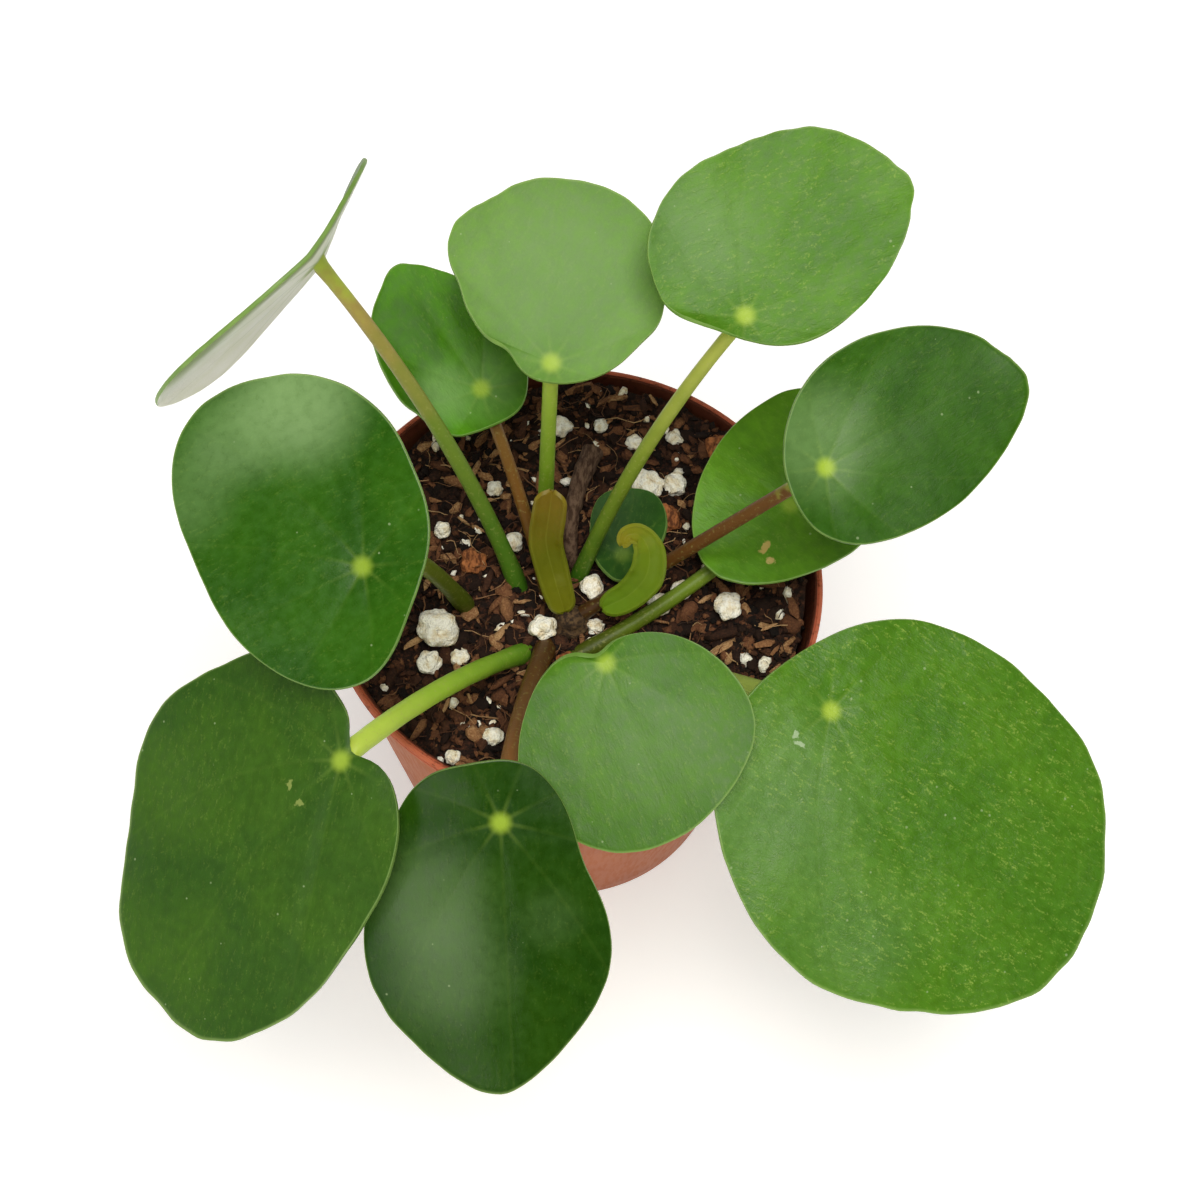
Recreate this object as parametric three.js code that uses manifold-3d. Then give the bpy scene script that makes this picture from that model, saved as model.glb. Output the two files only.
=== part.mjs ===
// A young pilea in a small plastic nursery pot: round leaves on long stalks, potting soil with
// perlite grains and bark chips. Millimetres, +Z up, origin at the middle of the pot's foot.
import * as THREE from 'three';
import { mergeVertices } from 'three/addons/utils/BufferGeometryUtils.js';
import Module from 'manifold-3d';

const wasm = await Module();
wasm.setup();

// Driving dimensions
const gap = 0.3; // left between pieces that touch
const potHeight = 88;
const lipRadius = 50;
const lipWidth = 1.7;
const lipHeight = 2.2;
const footRadius = 36;
const wall = 1.2;
const floorThickness = 1.6;
const footDiscRadius = 17; // flat disc in the middle of the underside
const channelDepth = 2.4; // recess between the disc and the foot ring
const footRingWidth = 3;
const footSlope = 1; // run-in of the recess's sides
const lipRounding = 0.5;
const drainCount = 8;
const drainRadius = 3.2;
const potSides = 52;

const soilLevel = 83.2;
const soilSlope = 0.035; // it lies higher at the back right
const soilRelief = 0.9; // height of the crumbs in the surface
const soilSectors = 36;
const soilRings = 8;
const soilBend = 40; // height of the one ring between the soil's floor and its edge
const crumbWaves = 7;
const crumbLength = [7, 23]; // shortest and longest wave in the surface
const heap = { height: 0.8, spread: 12 }; // round the crown

const crown = { x: -0.3, y: -8.2, radius: 4.1, top: 86.4, bottom: 52 };
const buried = 5; // length of each stalk below its foot
const oldStalkColor = 0x5a4540;
const crownColor = 0x5a4a30;
const potColor = 0xa8603f;
const perliteColor = 0xe6e0d2;
const barkColor = 0x6e3c20;
const soilColor = 0x2c1c14;

const bladeRings = [0.3, 0.68, 1]; // distances from the stalk to the edge
const bladeSectors = 30;
const bladeThickness = 1.1; // at the stalk
const edgeThickness = 0.8;
const tipSpread = 0.35; // how wide the tip and the notch are, in radians round the outline
const notchSpread = 0.22;
const dimpleSpread = 4; // radius of the dip over the stalk
const stalkSides = 8;
const stalkSteps = 10;
const stalkRise = 0.6; // how far a stalk's middle line runs on past the blade's middle
const youngThickness = 0.9;
const youngSteps = 9;

// Grown leaves. spot is where the stalk meets the blade. The blade's plane is tilted by tilt degrees
// towards the compass direction lean, its long axis runs to the direction heading. back is how far the
// blade reaches behind the stalk and side how far its middle lies left of it. egg narrows one end, point
// and notch shape the tip and the base, lobes are [count, depth, degrees] of the outline's waver.
// cup, roll, droop and dimple bend the blade in mm, wave is [count, mm, degrees] of its edge. keel lifts
// both ends of the long axis and twist turns the tip's end. bays are [mm, degrees, spread] cut from the
// outline, or added to it where the mm are below zero.
// foot is where the stalk leaves the soil or the crown and bend moves the stalk's middle.
const leaves = [
  {
    spot: [-50.3, 26.2, 150], tilt: 66, lean: 152, heading: 230,
    length: 57, width: 50, back: 19, side: 1, egg: 0.08, point: 1, notch: 0.5,
    lobes: [[3, 0.03, 60], [5, 0.015, 20]],
    cup: 0, roll: 0, droop: 0, dimple: 0.3, wave: [3, 0.3, 40], keel: 4.6, twist: 3,
    foot: [-12.1, 0.2, 84], bend: [3, 0, 1.5], stalk: [2.0, 1.5],
    leafColor: 0x5f8f4e, stalkColor: 0x8c8a4a,
  },
  {
    spot: [-36.6, -27, 134], tilt: 28, lean: 245, heading: 203,
    length: 44.5, width: 58, back: 15, side: -11.5, egg: 0.11, point: 0, notch: 0.8,
    lobes: [[3, 0.08, 67], [5, 0.012, 25]],
    cup: 1.5, roll: 1.5, droop: 1.5, dimple: 0.6, wave: [4, 0.4, 0],
    foot: [-22.3, -5.8, 83.6], bend: [-2, 3, 6], stalk: [1.8, 1.6],
    leafColor: 0x2f6f27, stalkColor: 0x5c7030,
  },
  {
    spot: [-20.7, 24, 116], tilt: 25, lean: 285, heading: 133,
    length: 36, width: 27, back: 7.5, side: 1, egg: 0.19, point: 1.5, notch: 0.5,
    lobes: [[3, 0.035, 69], [5, 0.02, 50]], bays: [[1.6, 325, 30], [1.2, 118, 10], [-1.5, 148, 12]],
    cup: 1.5, roll: 0, droop: 1, dimple: 0.5, wave: [4, 0.4, 90],
    foot: [-5.9, -0.9, 84.4], bend: [0.5, 0, 1], stalk: [1.4, 1.2],
    leafColor: 0x2f7a26, stalkColor: 0x8a6a44,
  },
  {
    spot: [-6.8, 16.1, 138], tilt: 26, lean: 275, heading: 58,
    length: 36.5, width: 41, back: 5, side: 8, egg: -0.13, point: 0.7, notch: 2,
    lobes: [[3, 0.065, 99], [5, 0.01, 38]], bays: [[4, 70, 24], [2, 128, 12], [-2.4, 283, 14]],
    cup: 0.8, roll: 0.8, droop: 0, dimple: 0.5, wave: [3, 0.3, 0],
    foot: [-6.8, 6.4, 84], bend: [0, -0.5, 0.5], stalk: [1.6, 1.4],
    leafColor: 0x4f8c3f, stalkColor: 0x5f9434,
  },
  {
    spot: [27.5, 21.2, 150], tilt: 27, lean: 275, heading: 24,
    length: 47.5, width: 37, back: 13, side: 11.5, egg: 0.05, point: 3, notch: 1,
    lobes: [[3, 0.04, 46], [5, 0.027, 45]], bays: [[1.4, 45, 14], [0.9, 108, 16], [-1, 265, 40]],
    cup: 1, roll: 0.5, droop: 0, dimple: 0.6, wave: [7, 0.5, 30],
    foot: [0.8, 2, 84], bend: [-2, 1.5, 0], stalk: [2.0, 1.6],
    leafColor: 0x4a8838, stalkColor: 0x7c9636,
  },
  {
    spot: [44.8, 2.5, 131], tilt: 27, lean: 290, heading: 35,
    length: 50, width: 35.5, back: 7, side: -1, egg: 0.39, point: 0, notch: 0.4,
    lobes: [[3, 0.08, 69], [5, 0.01, 55]],
    cup: 1.5, roll: 1, droop: 1, dimple: 0.8, wave: [3, 0.5, 120],
    foot: [2.6, -6.6, 84.6], bend: [0.5, 3.2, -5], stalk: [1.4, 1.3],
    leafColor: 0x3d7c33, stalkColor: 0x8a4a38,
  },
  {
    spot: [41.9, 14.5, 97], tilt: 6, lean: 285, heading: 148,
    length: 35.2, width: 46.4, back: 16.9, side: -2.8, egg: -0.3, point: 0.5, notch: 0,
    lobes: [[3, 0.045, 102], [5, 0.01, 27]],
    cup: 0.5, roll: 0.5, droop: 0, dimple: 0.5, wave: [4, 0.4, 60],
    foot: [4.7, -13.6, 83], bend: [1, -1, -0.5], stalk: [1.7, 1.4],
    leafColor: 0x3c8a2c, stalkColor: 0x6b7c34,
  },
  {
    spot: [49.6, -35.1, 107], tilt: 24, lean: 300, heading: 341,
    length: 79.9, width: 71, back: 16, side: -9.7, egg: 0, point: 0, notch: 0,
    lobes: [[3, 0.01, 101], [5, 0.017, 44]],
    cup: 0, roll: 1.5, droop: 2, dimple: 0.8, wave: [9, 0.4, 0],
    foot: [10.8, -16, 83], bend: [0, 0, 2], stalk: [2.0, 1.7],
    leafColor: 0x468c22, stalkColor: 0x6f7a3a,
  },
  {
    spot: [7.3, -33.3, 116], tilt: 24, lean: 262, heading: 300,
    length: 38, width: 43.5, back: 5.5, side: -1, egg: -0.29, point: 0, notch: 2,
    lobes: [[3, 0.07, 116], [5, 0.017, 62]],
    cup: 0.8, roll: 0.8, droop: 0.5, dimple: 0.5, wave: [4, 0.4, 30],
    foot: [5.6, -20.4, 83], bend: [0, 1, 0], stalk: [1.6, 1.4],
    leafColor: 0x3c8634, stalkColor: 0x63863a,
  },
  {
    spot: [-9.2, -62.9, 109], tilt: 36, lean: 264, heading: 278,
    length: 59, width: 43.5, back: 12.5, side: -3.5, egg: -0.19, point: 2.5, notch: 0,
    lobes: [[3, 0.024, 14], [5, 0.028, 2]], bays: [[-2.6, 325, 28], [1.9, 110, 15]],
    cup: 0, roll: 3, droop: 2, dimple: 0.4, wave: [4, 0.6, 45],
    foot: [-4.8, -15.2, 83], bend: [-1, 0, 2.5], stalk: [2, 1.9],
    leafColor: 0x265a20, stalkColor: 0x6e4a30,
  },
  {
    spot: [-38.8, -54.6, 112], tilt: 33, lean: 218, heading: 261,
    length: 69, width: 58, back: 17, side: -16.2, egg: -0.03, point: 3.5, notch: 0,
    lobes: [[3, 0.038, 100], [5, 0.036, 31]], bays: [[7.5, 132, 8], [1.8, 215, 35]],
    cup: 0, roll: 2, droop: 2, dimple: 0.5, wave: [5, 0.5, 0],
    foot: [-9.9, -16.6, 83], bend: [0, 0.5, 4], stalk: [1.9, 2],
    leafColor: 0x2f6224, stalkColor: 0x7fa03a,
  },
  {
    spot: [9.3, 5.8, 86.8], tilt: 8, lean: 200, heading: 84,
    length: 21.5, width: 15.5, back: 6, side: 0, egg: -0.19, point: 0, notch: 0,
    lobes: [[3, 0.02, 56], [5, 0.02, 49]],
    cup: 1, roll: 0, droop: 0.5, dimple: 0.3, wave: [3, 0.3, 0],
    foot: [8.6, 2.6, 83], bend: [0.1, -0.3, 0], stalk: [0.9, 0.8],
    leafColor: 0x2a4f22, stalkColor: 0x4d6a2c,
  },
];

// Young leaves: middle line, half widths along it, and how deep the fold along the middle is.
const youngLeaves = [
  {
    line: [[-0.9, -8.2, 87], [-3.5, -4, 93], [-5.7, -0.2, 99.5], [-6.2, 3.6, 105.5], [-5.3, 6, 110]],
    halfWidths: [1.6, 3.1, 3.7, 3.1, 1.3], across: [0.96, 0.1, 0.25], fold: 1.4, color: 0x6f7a22,
  },
  {
    line: [
      [2.6, -7.6, 87], [9.2, -8.2, 92.5], [13.6, -6, 97], [15.4, -2.4, 101], [14, 0.4, 103.5],
      [10.2, 1.2, 104.6],
    ],
    halfWidths: [1.5, 2.9, 3.2, 2.7, 1.7, 0.9], across: [-0.35, 0.8, 0.45], fold: 1.1, color: 0x8a9a2e,
  },
];

const oldStalk = {
  line: [[-0.6, 4.8, 82], [-1.7, 11.5, 85.5], [-0.8, 21.5, 86.6], [1.6, 30.5, 86]],
  radii: [1.1, 2.3],
};

// Perlite grains and bark chips that lie where the photo shows them: x, y and size across.
const perlitePlaces = [
  [-26.6, -12.3, 7.6], [-27.5, -19.5, 4.6], [-21.6, -17.8, 3.4], [-5.6, -10.9, 4.8], [3.6, -1.6, 4.4],
  [5, -8.8, 3], [13.4, 23.2, 6], [19, 24.4, 4.4], [17.4, -3.4, 4.6], [21.8, -0.2, 4],
  [-27.8, 10.5, 3.4], [-18.1, 20.9, 3.2], [-13.2, 9, 3.8], [-5.8, 37, 4.4], [2.8, 37.6, 2.8],
  [10, 33.4, 3.2], [18.5, 35.8, 3.2], [31.3, -3.9, 5], [-13.4, -34.6, 3.4], [-20.9, -39, 2.8],
];
const barkPlaces = [[17.6, 16.4, 6.4], [-0.2, -17.4, 3.8], [-21, 3.6, 5], [28.4, 33, 6]];

// How flat the lumps are, how deep they are sunk, and the first of their seeds.
const perliteShape = { flat: 0.72, sunk: 0.45, seed: 100 };
const barkShape = { flat: 0.5, sunk: 0.3, seed: 300 };
const roundLump = 4.5; // lumps larger than this get more faces

const deg = Math.PI / 180;

// A repeatable random number from 0 to 1 for each call.
function seeded(seed) {
  let state = seed;
  return () => {
    state = (state * 1664525 + 1013904223) % 4294967296;
    return state / 4294967296;
  };
}

// Geometry from corner points and triangles.
function meshFrom(points, triangles) {
  const geometry = new THREE.BufferGeometry();
  geometry.setAttribute('position', new THREE.Float32BufferAttribute(points.flat(), 3));
  geometry.setIndex(triangles.flat());
  return geometry;
}

// Only positions, with shared corners joined and empty triangles dropped.
function cleaned(geometry) {
  const bare = geometry.clone();
  for (const name of Object.keys(bare.attributes)) {
    if (name !== 'position') {
      bare.deleteAttribute(name);
    }
  }
  const joined = mergeVertices(bare, 1e-4);
  const index = Array.from(joined.index.array);
  const kept = [];
  for (let i = 0; i < index.length; i += 3) {
    const [a, b, c] = index.slice(i, i + 3);
    if (a !== b && b !== c && c !== a) {
      kept.push(a, b, c);
    }
  }
  joined.setIndex(kept);
  return joined;
}

function solidOf(geometry) {
  const shape = cleaned(geometry);
  const vertProperties = new Float32Array(shape.attributes.position.array);
  const triVerts = new Uint32Array(shape.index.array);
  return new wasm.Manifold(new wasm.Mesh({ numProp: 3, vertProperties, triVerts }));
}

function geometryOf(solid) {
  const mesh = solid.getMesh();
  const geometry = new THREE.BufferGeometry();
  geometry.setAttribute('position', new THREE.BufferAttribute(new Float32Array(mesh.vertProperties), 3));
  geometry.setIndex(new THREE.BufferAttribute(new Uint32Array(mesh.triVerts), 1));
  return geometry;
}

// A solid less the solids around it, without the scraps that the cut leaves.
function cutBy(solid, tools) {
  let rest = solid;
  for (const tool of tools) {
    rest = rest.subtract(tool);
  }
  const bodies = rest.decompose();
  return bodies.reduce((best, body) => (body.volume() > best.volume() ? body : best));
}

// A profile of [radius, height] points turned round the Z axis.
function turned(profile, sides) {
  const points = profile.map(([radius, height]) => new THREE.Vector2(radius, height));
  return new THREE.LatheGeometry(points, sides).rotateX(Math.PI / 2);
}

// Rings of points joined into a closed skin, with both ends filled from their middles.
function skinned(rings) {
  const sides = rings[0].length;
  const points = rings.flat();
  const triangles = [];
  for (let k = 0; k + 1 < rings.length; k += 1) {
    for (let j = 0; j < sides; j += 1) {
      const a = k * sides + j;
      const b = k * sides + ((j + 1) % sides);
      triangles.push([a, b, b + sides]);
      triangles.push([a, b + sides, a + sides]);
    }
  }
  const last = (rings.length - 1) * sides;
  for (let j = 1; j + 1 < sides; j += 1) {
    triangles.push([0, j + 1, j]);
    triangles.push([last, last + j, last + j + 1]);
  }
  return meshFrom(points, triangles);
}

// A round stalk along a curve, its radius easing from foot to top.
function stalkGeometry(curve, radii, extra, steps, sides) {
  const frames = curve.computeFrenetFrames(steps);
  const rings = [];
  for (let k = 0; k <= steps; k += 1) {
    const centre = curve.getPointAt(k / steps);
    const radius = radii[0] + (radii[1] - radii[0]) * (k / steps) + extra;
    const ring = [];
    for (let j = 0; j < sides; j += 1) {
      const angle = (j / sides) * 2 * Math.PI;
      const point = centre.clone();
      point.addScaledVector(frames.normals[k], radius * Math.cos(angle));
      point.addScaledVector(frames.binormals[k], radius * Math.sin(angle));
      ring.push(point.toArray());
    }
    rings.push(ring);
  }
  return skinned(rings);
}

// The three directions of a blade: its normal, its long axis and its left side.
function bladeAxes(leaf) {
  const tilt = leaf.tilt * deg;
  const lean = leaf.lean * deg;
  const heading = leaf.heading * deg;
  const sideways = Math.sin(tilt);
  const normal = new THREE.Vector3(sideways * Math.cos(lean), sideways * Math.sin(lean), Math.cos(tilt));
  const drop = (normal.x * Math.cos(heading) + normal.y * Math.sin(heading)) / normal.z;
  const along = new THREE.Vector3(Math.cos(heading), Math.sin(heading), -drop).normalize();
  const left = new THREE.Vector3().crossVectors(normal, along);
  return { normal, along, left };
}

// How much of a bump is left at an angle that lies off its middle.
function bump(angle, middle, spread) {
  const off = Math.atan2(Math.sin(angle - middle), Math.cos(angle - middle));
  return Math.exp(-((off / spread) ** 2));
}

// The outline's place in the blade's plane, measured from the stalk, at an angle round its middle.
function outlinePoint(leaf, angle) {
  let reach = 1;
  for (const [count, depth, phase] of leaf.lobes) {
    reach += depth * Math.cos(count * (angle - phase * deg));
  }
  for (const [depth, middle, spread] of leaf.bays ?? []) {
    reach -= (depth / leaf.width) * bump(angle, middle * deg, spread * deg);
  }
  const half = leaf.length / 2;
  let u = half - leaf.back + half * Math.cos(angle) * reach;
  u += leaf.point * bump(angle, 0, tipSpread);
  u += leaf.notch * bump(angle, Math.PI, notchSpread);
  const v = leaf.side + (leaf.width / 2) * Math.sin(angle) * (1 - leaf.egg * Math.cos(angle)) * reach;
  return [u, v];
}

// How far the blade's middle surface lies off its plane.
function bladeHeight(leaf, u, v, fraction, angle) {
  const [count, size, phase] = leaf.wave;
  const { keel = 0, twist = 0 } = leaf;
  const behind = Math.max(0, -u) / leaf.back;
  const ahead = Math.max(0, u) / (leaf.length - leaf.back);
  const aside = (v - leaf.side) / (leaf.width / 2);
  let height = leaf.cup * fraction ** 2;
  height -= leaf.roll * aside ** 2;
  height -= leaf.droop * ahead ** 2;
  height -= leaf.dimple * Math.exp(-(u * u + v * v) / dimpleSpread ** 2);
  height += keel * (ahead + behind) ** 1.2 + twist * ahead * aside;
  height += size * fraction ** 3 * Math.sin(count * angle + phase * deg);
  return height;
}

// A blade with both faces split alike, extra being added to its thickness on each face.
function bladeGeometry(leaf, extra) {
  const { normal, along, left } = bladeAxes(leaf);
  const spot = new THREE.Vector3(...leaf.spot);
  const faces = [1, -1].map((face) => {
    const place = (u, v, fraction, angle) => {
      const thickness = bladeThickness + (edgeThickness - bladeThickness) * fraction;
      const height = bladeHeight(leaf, u, v, fraction, angle) + face * (thickness / 2 + extra);
      const grow = fraction ? 1 + extra / Math.hypot(u, v) : 1;
      const point = spot.clone().addScaledVector(along, u * grow).addScaledVector(left, v * grow);
      return point.addScaledVector(normal, height).toArray();
    };
    const points = [place(0, 0, 0, 0)];
    for (const fraction of bladeRings) {
      for (let j = 0; j < bladeSectors; j += 1) {
        const angle = (j / bladeSectors) * 2 * Math.PI;
        const [u, v] = outlinePoint(leaf, angle);
        points.push(place(u * fraction, v * fraction, fraction, angle));
      }
    }
    return points;
  });
  const count = faces[0].length;
  const triangles = [];
  const both = (a, b, c) => triangles.push([a, b, c], [a + count, c + count, b + count]);
  for (let j = 0; j < bladeSectors; j += 1) {
    const next = (j + 1) % bladeSectors;
    both(0, 1 + j, 1 + next);
    for (let k = 0; k + 1 < bladeRings.length; k += 1) {
      const inner = 1 + k * bladeSectors;
      const outer = inner + bladeSectors;
      both(inner + j, outer + j, outer + next);
      both(inner + j, outer + next, inner + next);
    }
    const rim = 1 + (bladeRings.length - 1) * bladeSectors;
    triangles.push([rim + j, rim + j + count, rim + next + count]);
    triangles.push([rim + j, rim + next + count, rim + next]);
  }
  return meshFrom(faces.flat(), triangles);
}

// The stalk's middle line, from its buried foot to just past the blade.
function stalkCurve(leaf, extra) {
  const { normal } = bladeAxes(leaf);
  const foot = new THREE.Vector3(...leaf.foot);
  const top = new THREE.Vector3(...leaf.spot);
  const bend = new THREE.Vector3(...leaf.bend);
  const middle = foot.clone().lerp(top, 0.5).addScaledVector(bend, 2);
  const end = top.clone().addScaledVector(normal, stalkRise);
  const arch = new THREE.QuadraticBezierCurve3(foot, middle, end);
  const root = foot.clone().addScaledVector(arch.getTangent(0), -buried * 0.4);
  root.z -= buried * 0.9 + extra;
  return new THREE.CatmullRomCurve3([root, ...arch.getPoints(5)]);
}

function leafStalk(leaf, extra) {
  return solidOf(stalkGeometry(stalkCurve(leaf, extra), leaf.stalk, extra, stalkSteps, stalkSides));
}

// A young leaf: a narrow blade folded along its middle line.
function youngLeafGeometry(young) {
  const curve = new THREE.CatmullRomCurve3(young.line.map((p) => new THREE.Vector3(...p)));
  const across = new THREE.Vector3(...young.across).normalize();
  const rings = [];
  for (let k = 0; k <= youngSteps; k += 1) {
    const t = k / youngSteps;
    const centre = curve.getPointAt(t);
    const tangent = curve.getTangentAt(t);
    const side = across.clone().addScaledVector(tangent, -across.dot(tangent)).normalize();
    const up = new THREE.Vector3().crossVectors(tangent, side);
    const place = t * (young.halfWidths.length - 1);
    const i = Math.min(Math.floor(place), young.halfWidths.length - 2);
    const half = THREE.MathUtils.lerp(young.halfWidths[i], young.halfWidths[i + 1], place - i);
    const corner = (offset, height) => {
      const point = centre.clone().addScaledVector(side, offset * half);
      return point.addScaledVector(up, young.fold * offset * offset * (half / 3) + height).toArray();
    };
    const columns = [-1, -0.5, 0, 0.5, 1];
    const lower = columns.map((offset) => corner(offset, -youngThickness / 2));
    const upper = columns.map((offset) => corner(offset, youngThickness / 2)).reverse();
    rings.push([...lower, ...upper]);
  }
  return skinned(rings);
}

// The crown: a short knobbly stem, mostly buried.
function crownSolid(extra) {
  const { radius, top, bottom } = crown;
  const profile = [
    [0, bottom - extra], [radius * 0.3 + extra, bottom - extra], [radius * 0.55 + extra, bottom + 10],
    [radius * 0.75 + extra, bottom + 20], [radius + extra, top - 8],
    [radius * 0.86 + extra, top - 6], [radius + extra, top - 4],
    [radius * 0.8 + extra, top - 2], [radius * 0.55 + extra, top - 0.4 + extra], [0, top + extra],
  ];
  return solidOf(turned(profile, 12).translate(crown.x, crown.y, 0));
}

function outerRadius(height) {
  return footRadius + ((lipRadius - lipWidth + wall / 2 - footRadius) * height) / (potHeight - lipHeight);
}

// The pot's wall, floor and lip, with drain holes in the recess of its foot.
function potSolid() {
  const shoulder = potHeight - lipHeight;
  const ringInner = footRadius - footRingWidth;
  const profile = [
    [0, 0], [footDiscRadius, 0], [footDiscRadius + footSlope, channelDepth],
    [ringInner - footSlope, channelDepth], [ringInner, 0], [footRadius, 0],
    [outerRadius(shoulder), shoulder], [lipRadius, shoulder + lipRounding],
    [lipRadius, potHeight - lipRounding], [lipRadius - lipRounding, potHeight],
    [lipRadius - lipWidth + lipRounding, potHeight], [lipRadius - lipWidth, potHeight - lipRounding],
    [outerRadius(shoulder) - wall, shoulder - 1],
    [outerRadius(channelDepth + floorThickness) - wall, channelDepth + floorThickness],
    [0, channelDepth + floorThickness],
  ];
  const holes = [];
  for (let k = 0; k < drainCount; k += 1) {
    const angle = ((k + 0.5) / drainCount) * 2 * Math.PI;
    const reach = (footDiscRadius + ringInner) / 2;
    const hole = new THREE.CylinderGeometry(drainRadius, drainRadius, 3 * floorThickness, 12);
    hole.rotateX(Math.PI / 2);
    hole.translate(reach * Math.cos(angle), reach * Math.sin(angle), channelDepth + floorThickness / 2);
    holes.push(solidOf(hole));
  }
  return cutBy(solidOf(turned(profile, potSides)), holes);
}

// The soil's surface: crumbs as a sum of seeded waves, heaped a little round the crown.
const crumbs = [];
const crumbRandom = seeded(11);
for (let k = 0; k < crumbWaves; k += 1) {
  const angle = crumbRandom() * 2 * Math.PI;
  const wavelength = THREE.MathUtils.lerp(...crumbLength, crumbRandom());
  crumbs.push({
    kx: (2 * Math.PI * Math.cos(angle)) / wavelength,
    ky: (2 * Math.PI * Math.sin(angle)) / wavelength,
    phase: crumbRandom() * 2 * Math.PI,
  });
}

function soilHeight(x, y) {
  let height = soilLevel;
  for (const { kx, ky, phase } of crumbs) {
    height += (soilRelief / Math.sqrt(crumbWaves)) * Math.sin(kx * x + ky * y + phase);
  }
  const fromCrown = Math.hypot(x - crown.x, y - crown.y);
  height += heap.height * Math.exp(-((fromCrown / heap.spread) ** 2));
  return height + soilSlope * (x + y);
}

function soilGeometry() {
  const floor = channelDepth + floorThickness + gap;
  const radiusAt = (height) => outerRadius(height) - wall - gap;
  const rings = [];
  const ringAt = (radius, height) => {
    const ring = [];
    for (let j = 0; j < soilSectors; j += 1) {
      const angle = (j / soilSectors) * 2 * Math.PI;
      const x = radius * Math.cos(angle);
      const y = radius * Math.sin(angle);
      ring.push([x, y, height ?? soilHeight(x, y)]);
    }
    return ring;
  };
  rings.push(ringAt(radiusAt(floor), floor));
  rings.push(ringAt(radiusAt(soilBend), soilBend));
  const edge = radiusAt(soilLevel - soilRelief * 3);
  for (let k = soilRings; k > 0; k -= 1) {
    rings.push(ringAt((edge * k) / soilRings));
  }
  return skinned(rings);
}

// An uneven lump at a place in the soil's surface, sunk by part of its height.
function lumpSolid(x, y, size, { flat, sunk, seed }, i, extra) {
  const random = seeded(seed + i);
  const detail = size > roundLump ? 1 : 0;
  const lump = cleaned(new THREE.IcosahedronGeometry(1, detail));
  const position = lump.attributes.position;
  const stretch = [0.9 + 0.25 * random(), 0.9 + 0.2 * random(), flat];
  const turn = random() * Math.PI;
  for (let k = 0; k < position.count; k += 1) {
    const swell = (size / 2) * (0.88 + 0.2 * random());
    const point = new THREE.Vector3().fromBufferAttribute(position, k);
    point.multiplyScalar(swell).multiply(new THREE.Vector3(...stretch));
    point.addScaledVector(point.clone().normalize(), extra);
    position.setXYZ(k, point.x, point.y, point.z);
  }
  lump.rotateZ(turn).translate(x, y, soilHeight(x, y) + (size / 2) * (flat - sunk));
  return solidOf(lump);
}

function surface(color, roughness, metalness) {
  return new THREE.MeshStandardMaterial({ color, roughness, metalness });
}

const plant = new THREE.Group();
function addPiece(name, solid, material) {
  const mesh = new THREE.Mesh(geometryOf(solid), material);
  mesh.name = name;
  plant.add(mesh);
}

const numbered = (name, i) => `${name}_${String(i + 1).padStart(2, '0')}`;
const crownTool = crownSolid(gap);

leaves.forEach((leaf, i) => {
  addPiece(numbered('leaf_blade', i), solidOf(bladeGeometry(leaf, 0)), surface(leaf.leafColor, 0.42, 0));
  const stalk = cutBy(leafStalk(leaf, 0), [crownTool, solidOf(bladeGeometry(leaf, gap))]);
  addPiece(numbered('leaf_stalk', i), stalk, surface(leaf.stalkColor, 0.45, 0));
});

youngLeaves.forEach((young, i) => {
  const solid = cutBy(solidOf(youngLeafGeometry(young)), [crownTool]);
  addPiece(`young_leaf_${i + 1}`, solid, surface(young.color, 0.45, 0));
});

function oldStalkSolid(extra) {
  const curve = new THREE.CatmullRomCurve3(oldStalk.line.map((p) => new THREE.Vector3(...p)));
  const last = curve.points.length - 1;
  curve.points[0].addScaledVector(curve.getTangent(0), -2 * extra);
  curve.points[last].addScaledVector(curve.getTangent(1), 2 * extra);
  return solidOf(stalkGeometry(curve, oldStalk.radii, extra, 6, 8));
}
addPiece('old_stalk', cutBy(oldStalkSolid(0), [crownTool]), surface(oldStalkColor, 0.85, 0));
addPiece('main_stem', crownSolid(0), surface(crownColor, 0.8, 0));
addPiece('pot', potSolid(), surface(potColor, 0.5, 0));

const soilTools = [crownTool, oldStalkSolid(gap), ...leaves.map((leaf) => leafStalk(leaf, gap))];
perlitePlaces.forEach(([x, y, size], i) => {
  const grain = lumpSolid(x, y, size, perliteShape, i, 0);
  addPiece(numbered('perlite', i), grain, surface(perliteColor, 0.9, 0));
  soilTools.push(lumpSolid(x, y, size, perliteShape, i, gap));
});
barkPlaces.forEach(([x, y, size], i) => {
  const chip = lumpSolid(x, y, size, barkShape, i, 0);
  addPiece(`bark_chip_${i + 1}`, chip, surface(barkColor, 0.9, 0));
  soilTools.push(lumpSolid(x, y, size, barkShape, i, gap));
});
addPiece('soil', cutBy(solidOf(soilGeometry()), soilTools), surface(soilColor, 0.95, 0));

export default plant;
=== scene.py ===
# A young pilea in a plastic nursery pot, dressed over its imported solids.
# Shapes are worked out in millimetres and turned to metres as they are laid down.
import math
import bpy
from mathutils import Matrix, Vector, kdtree, noise


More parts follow.
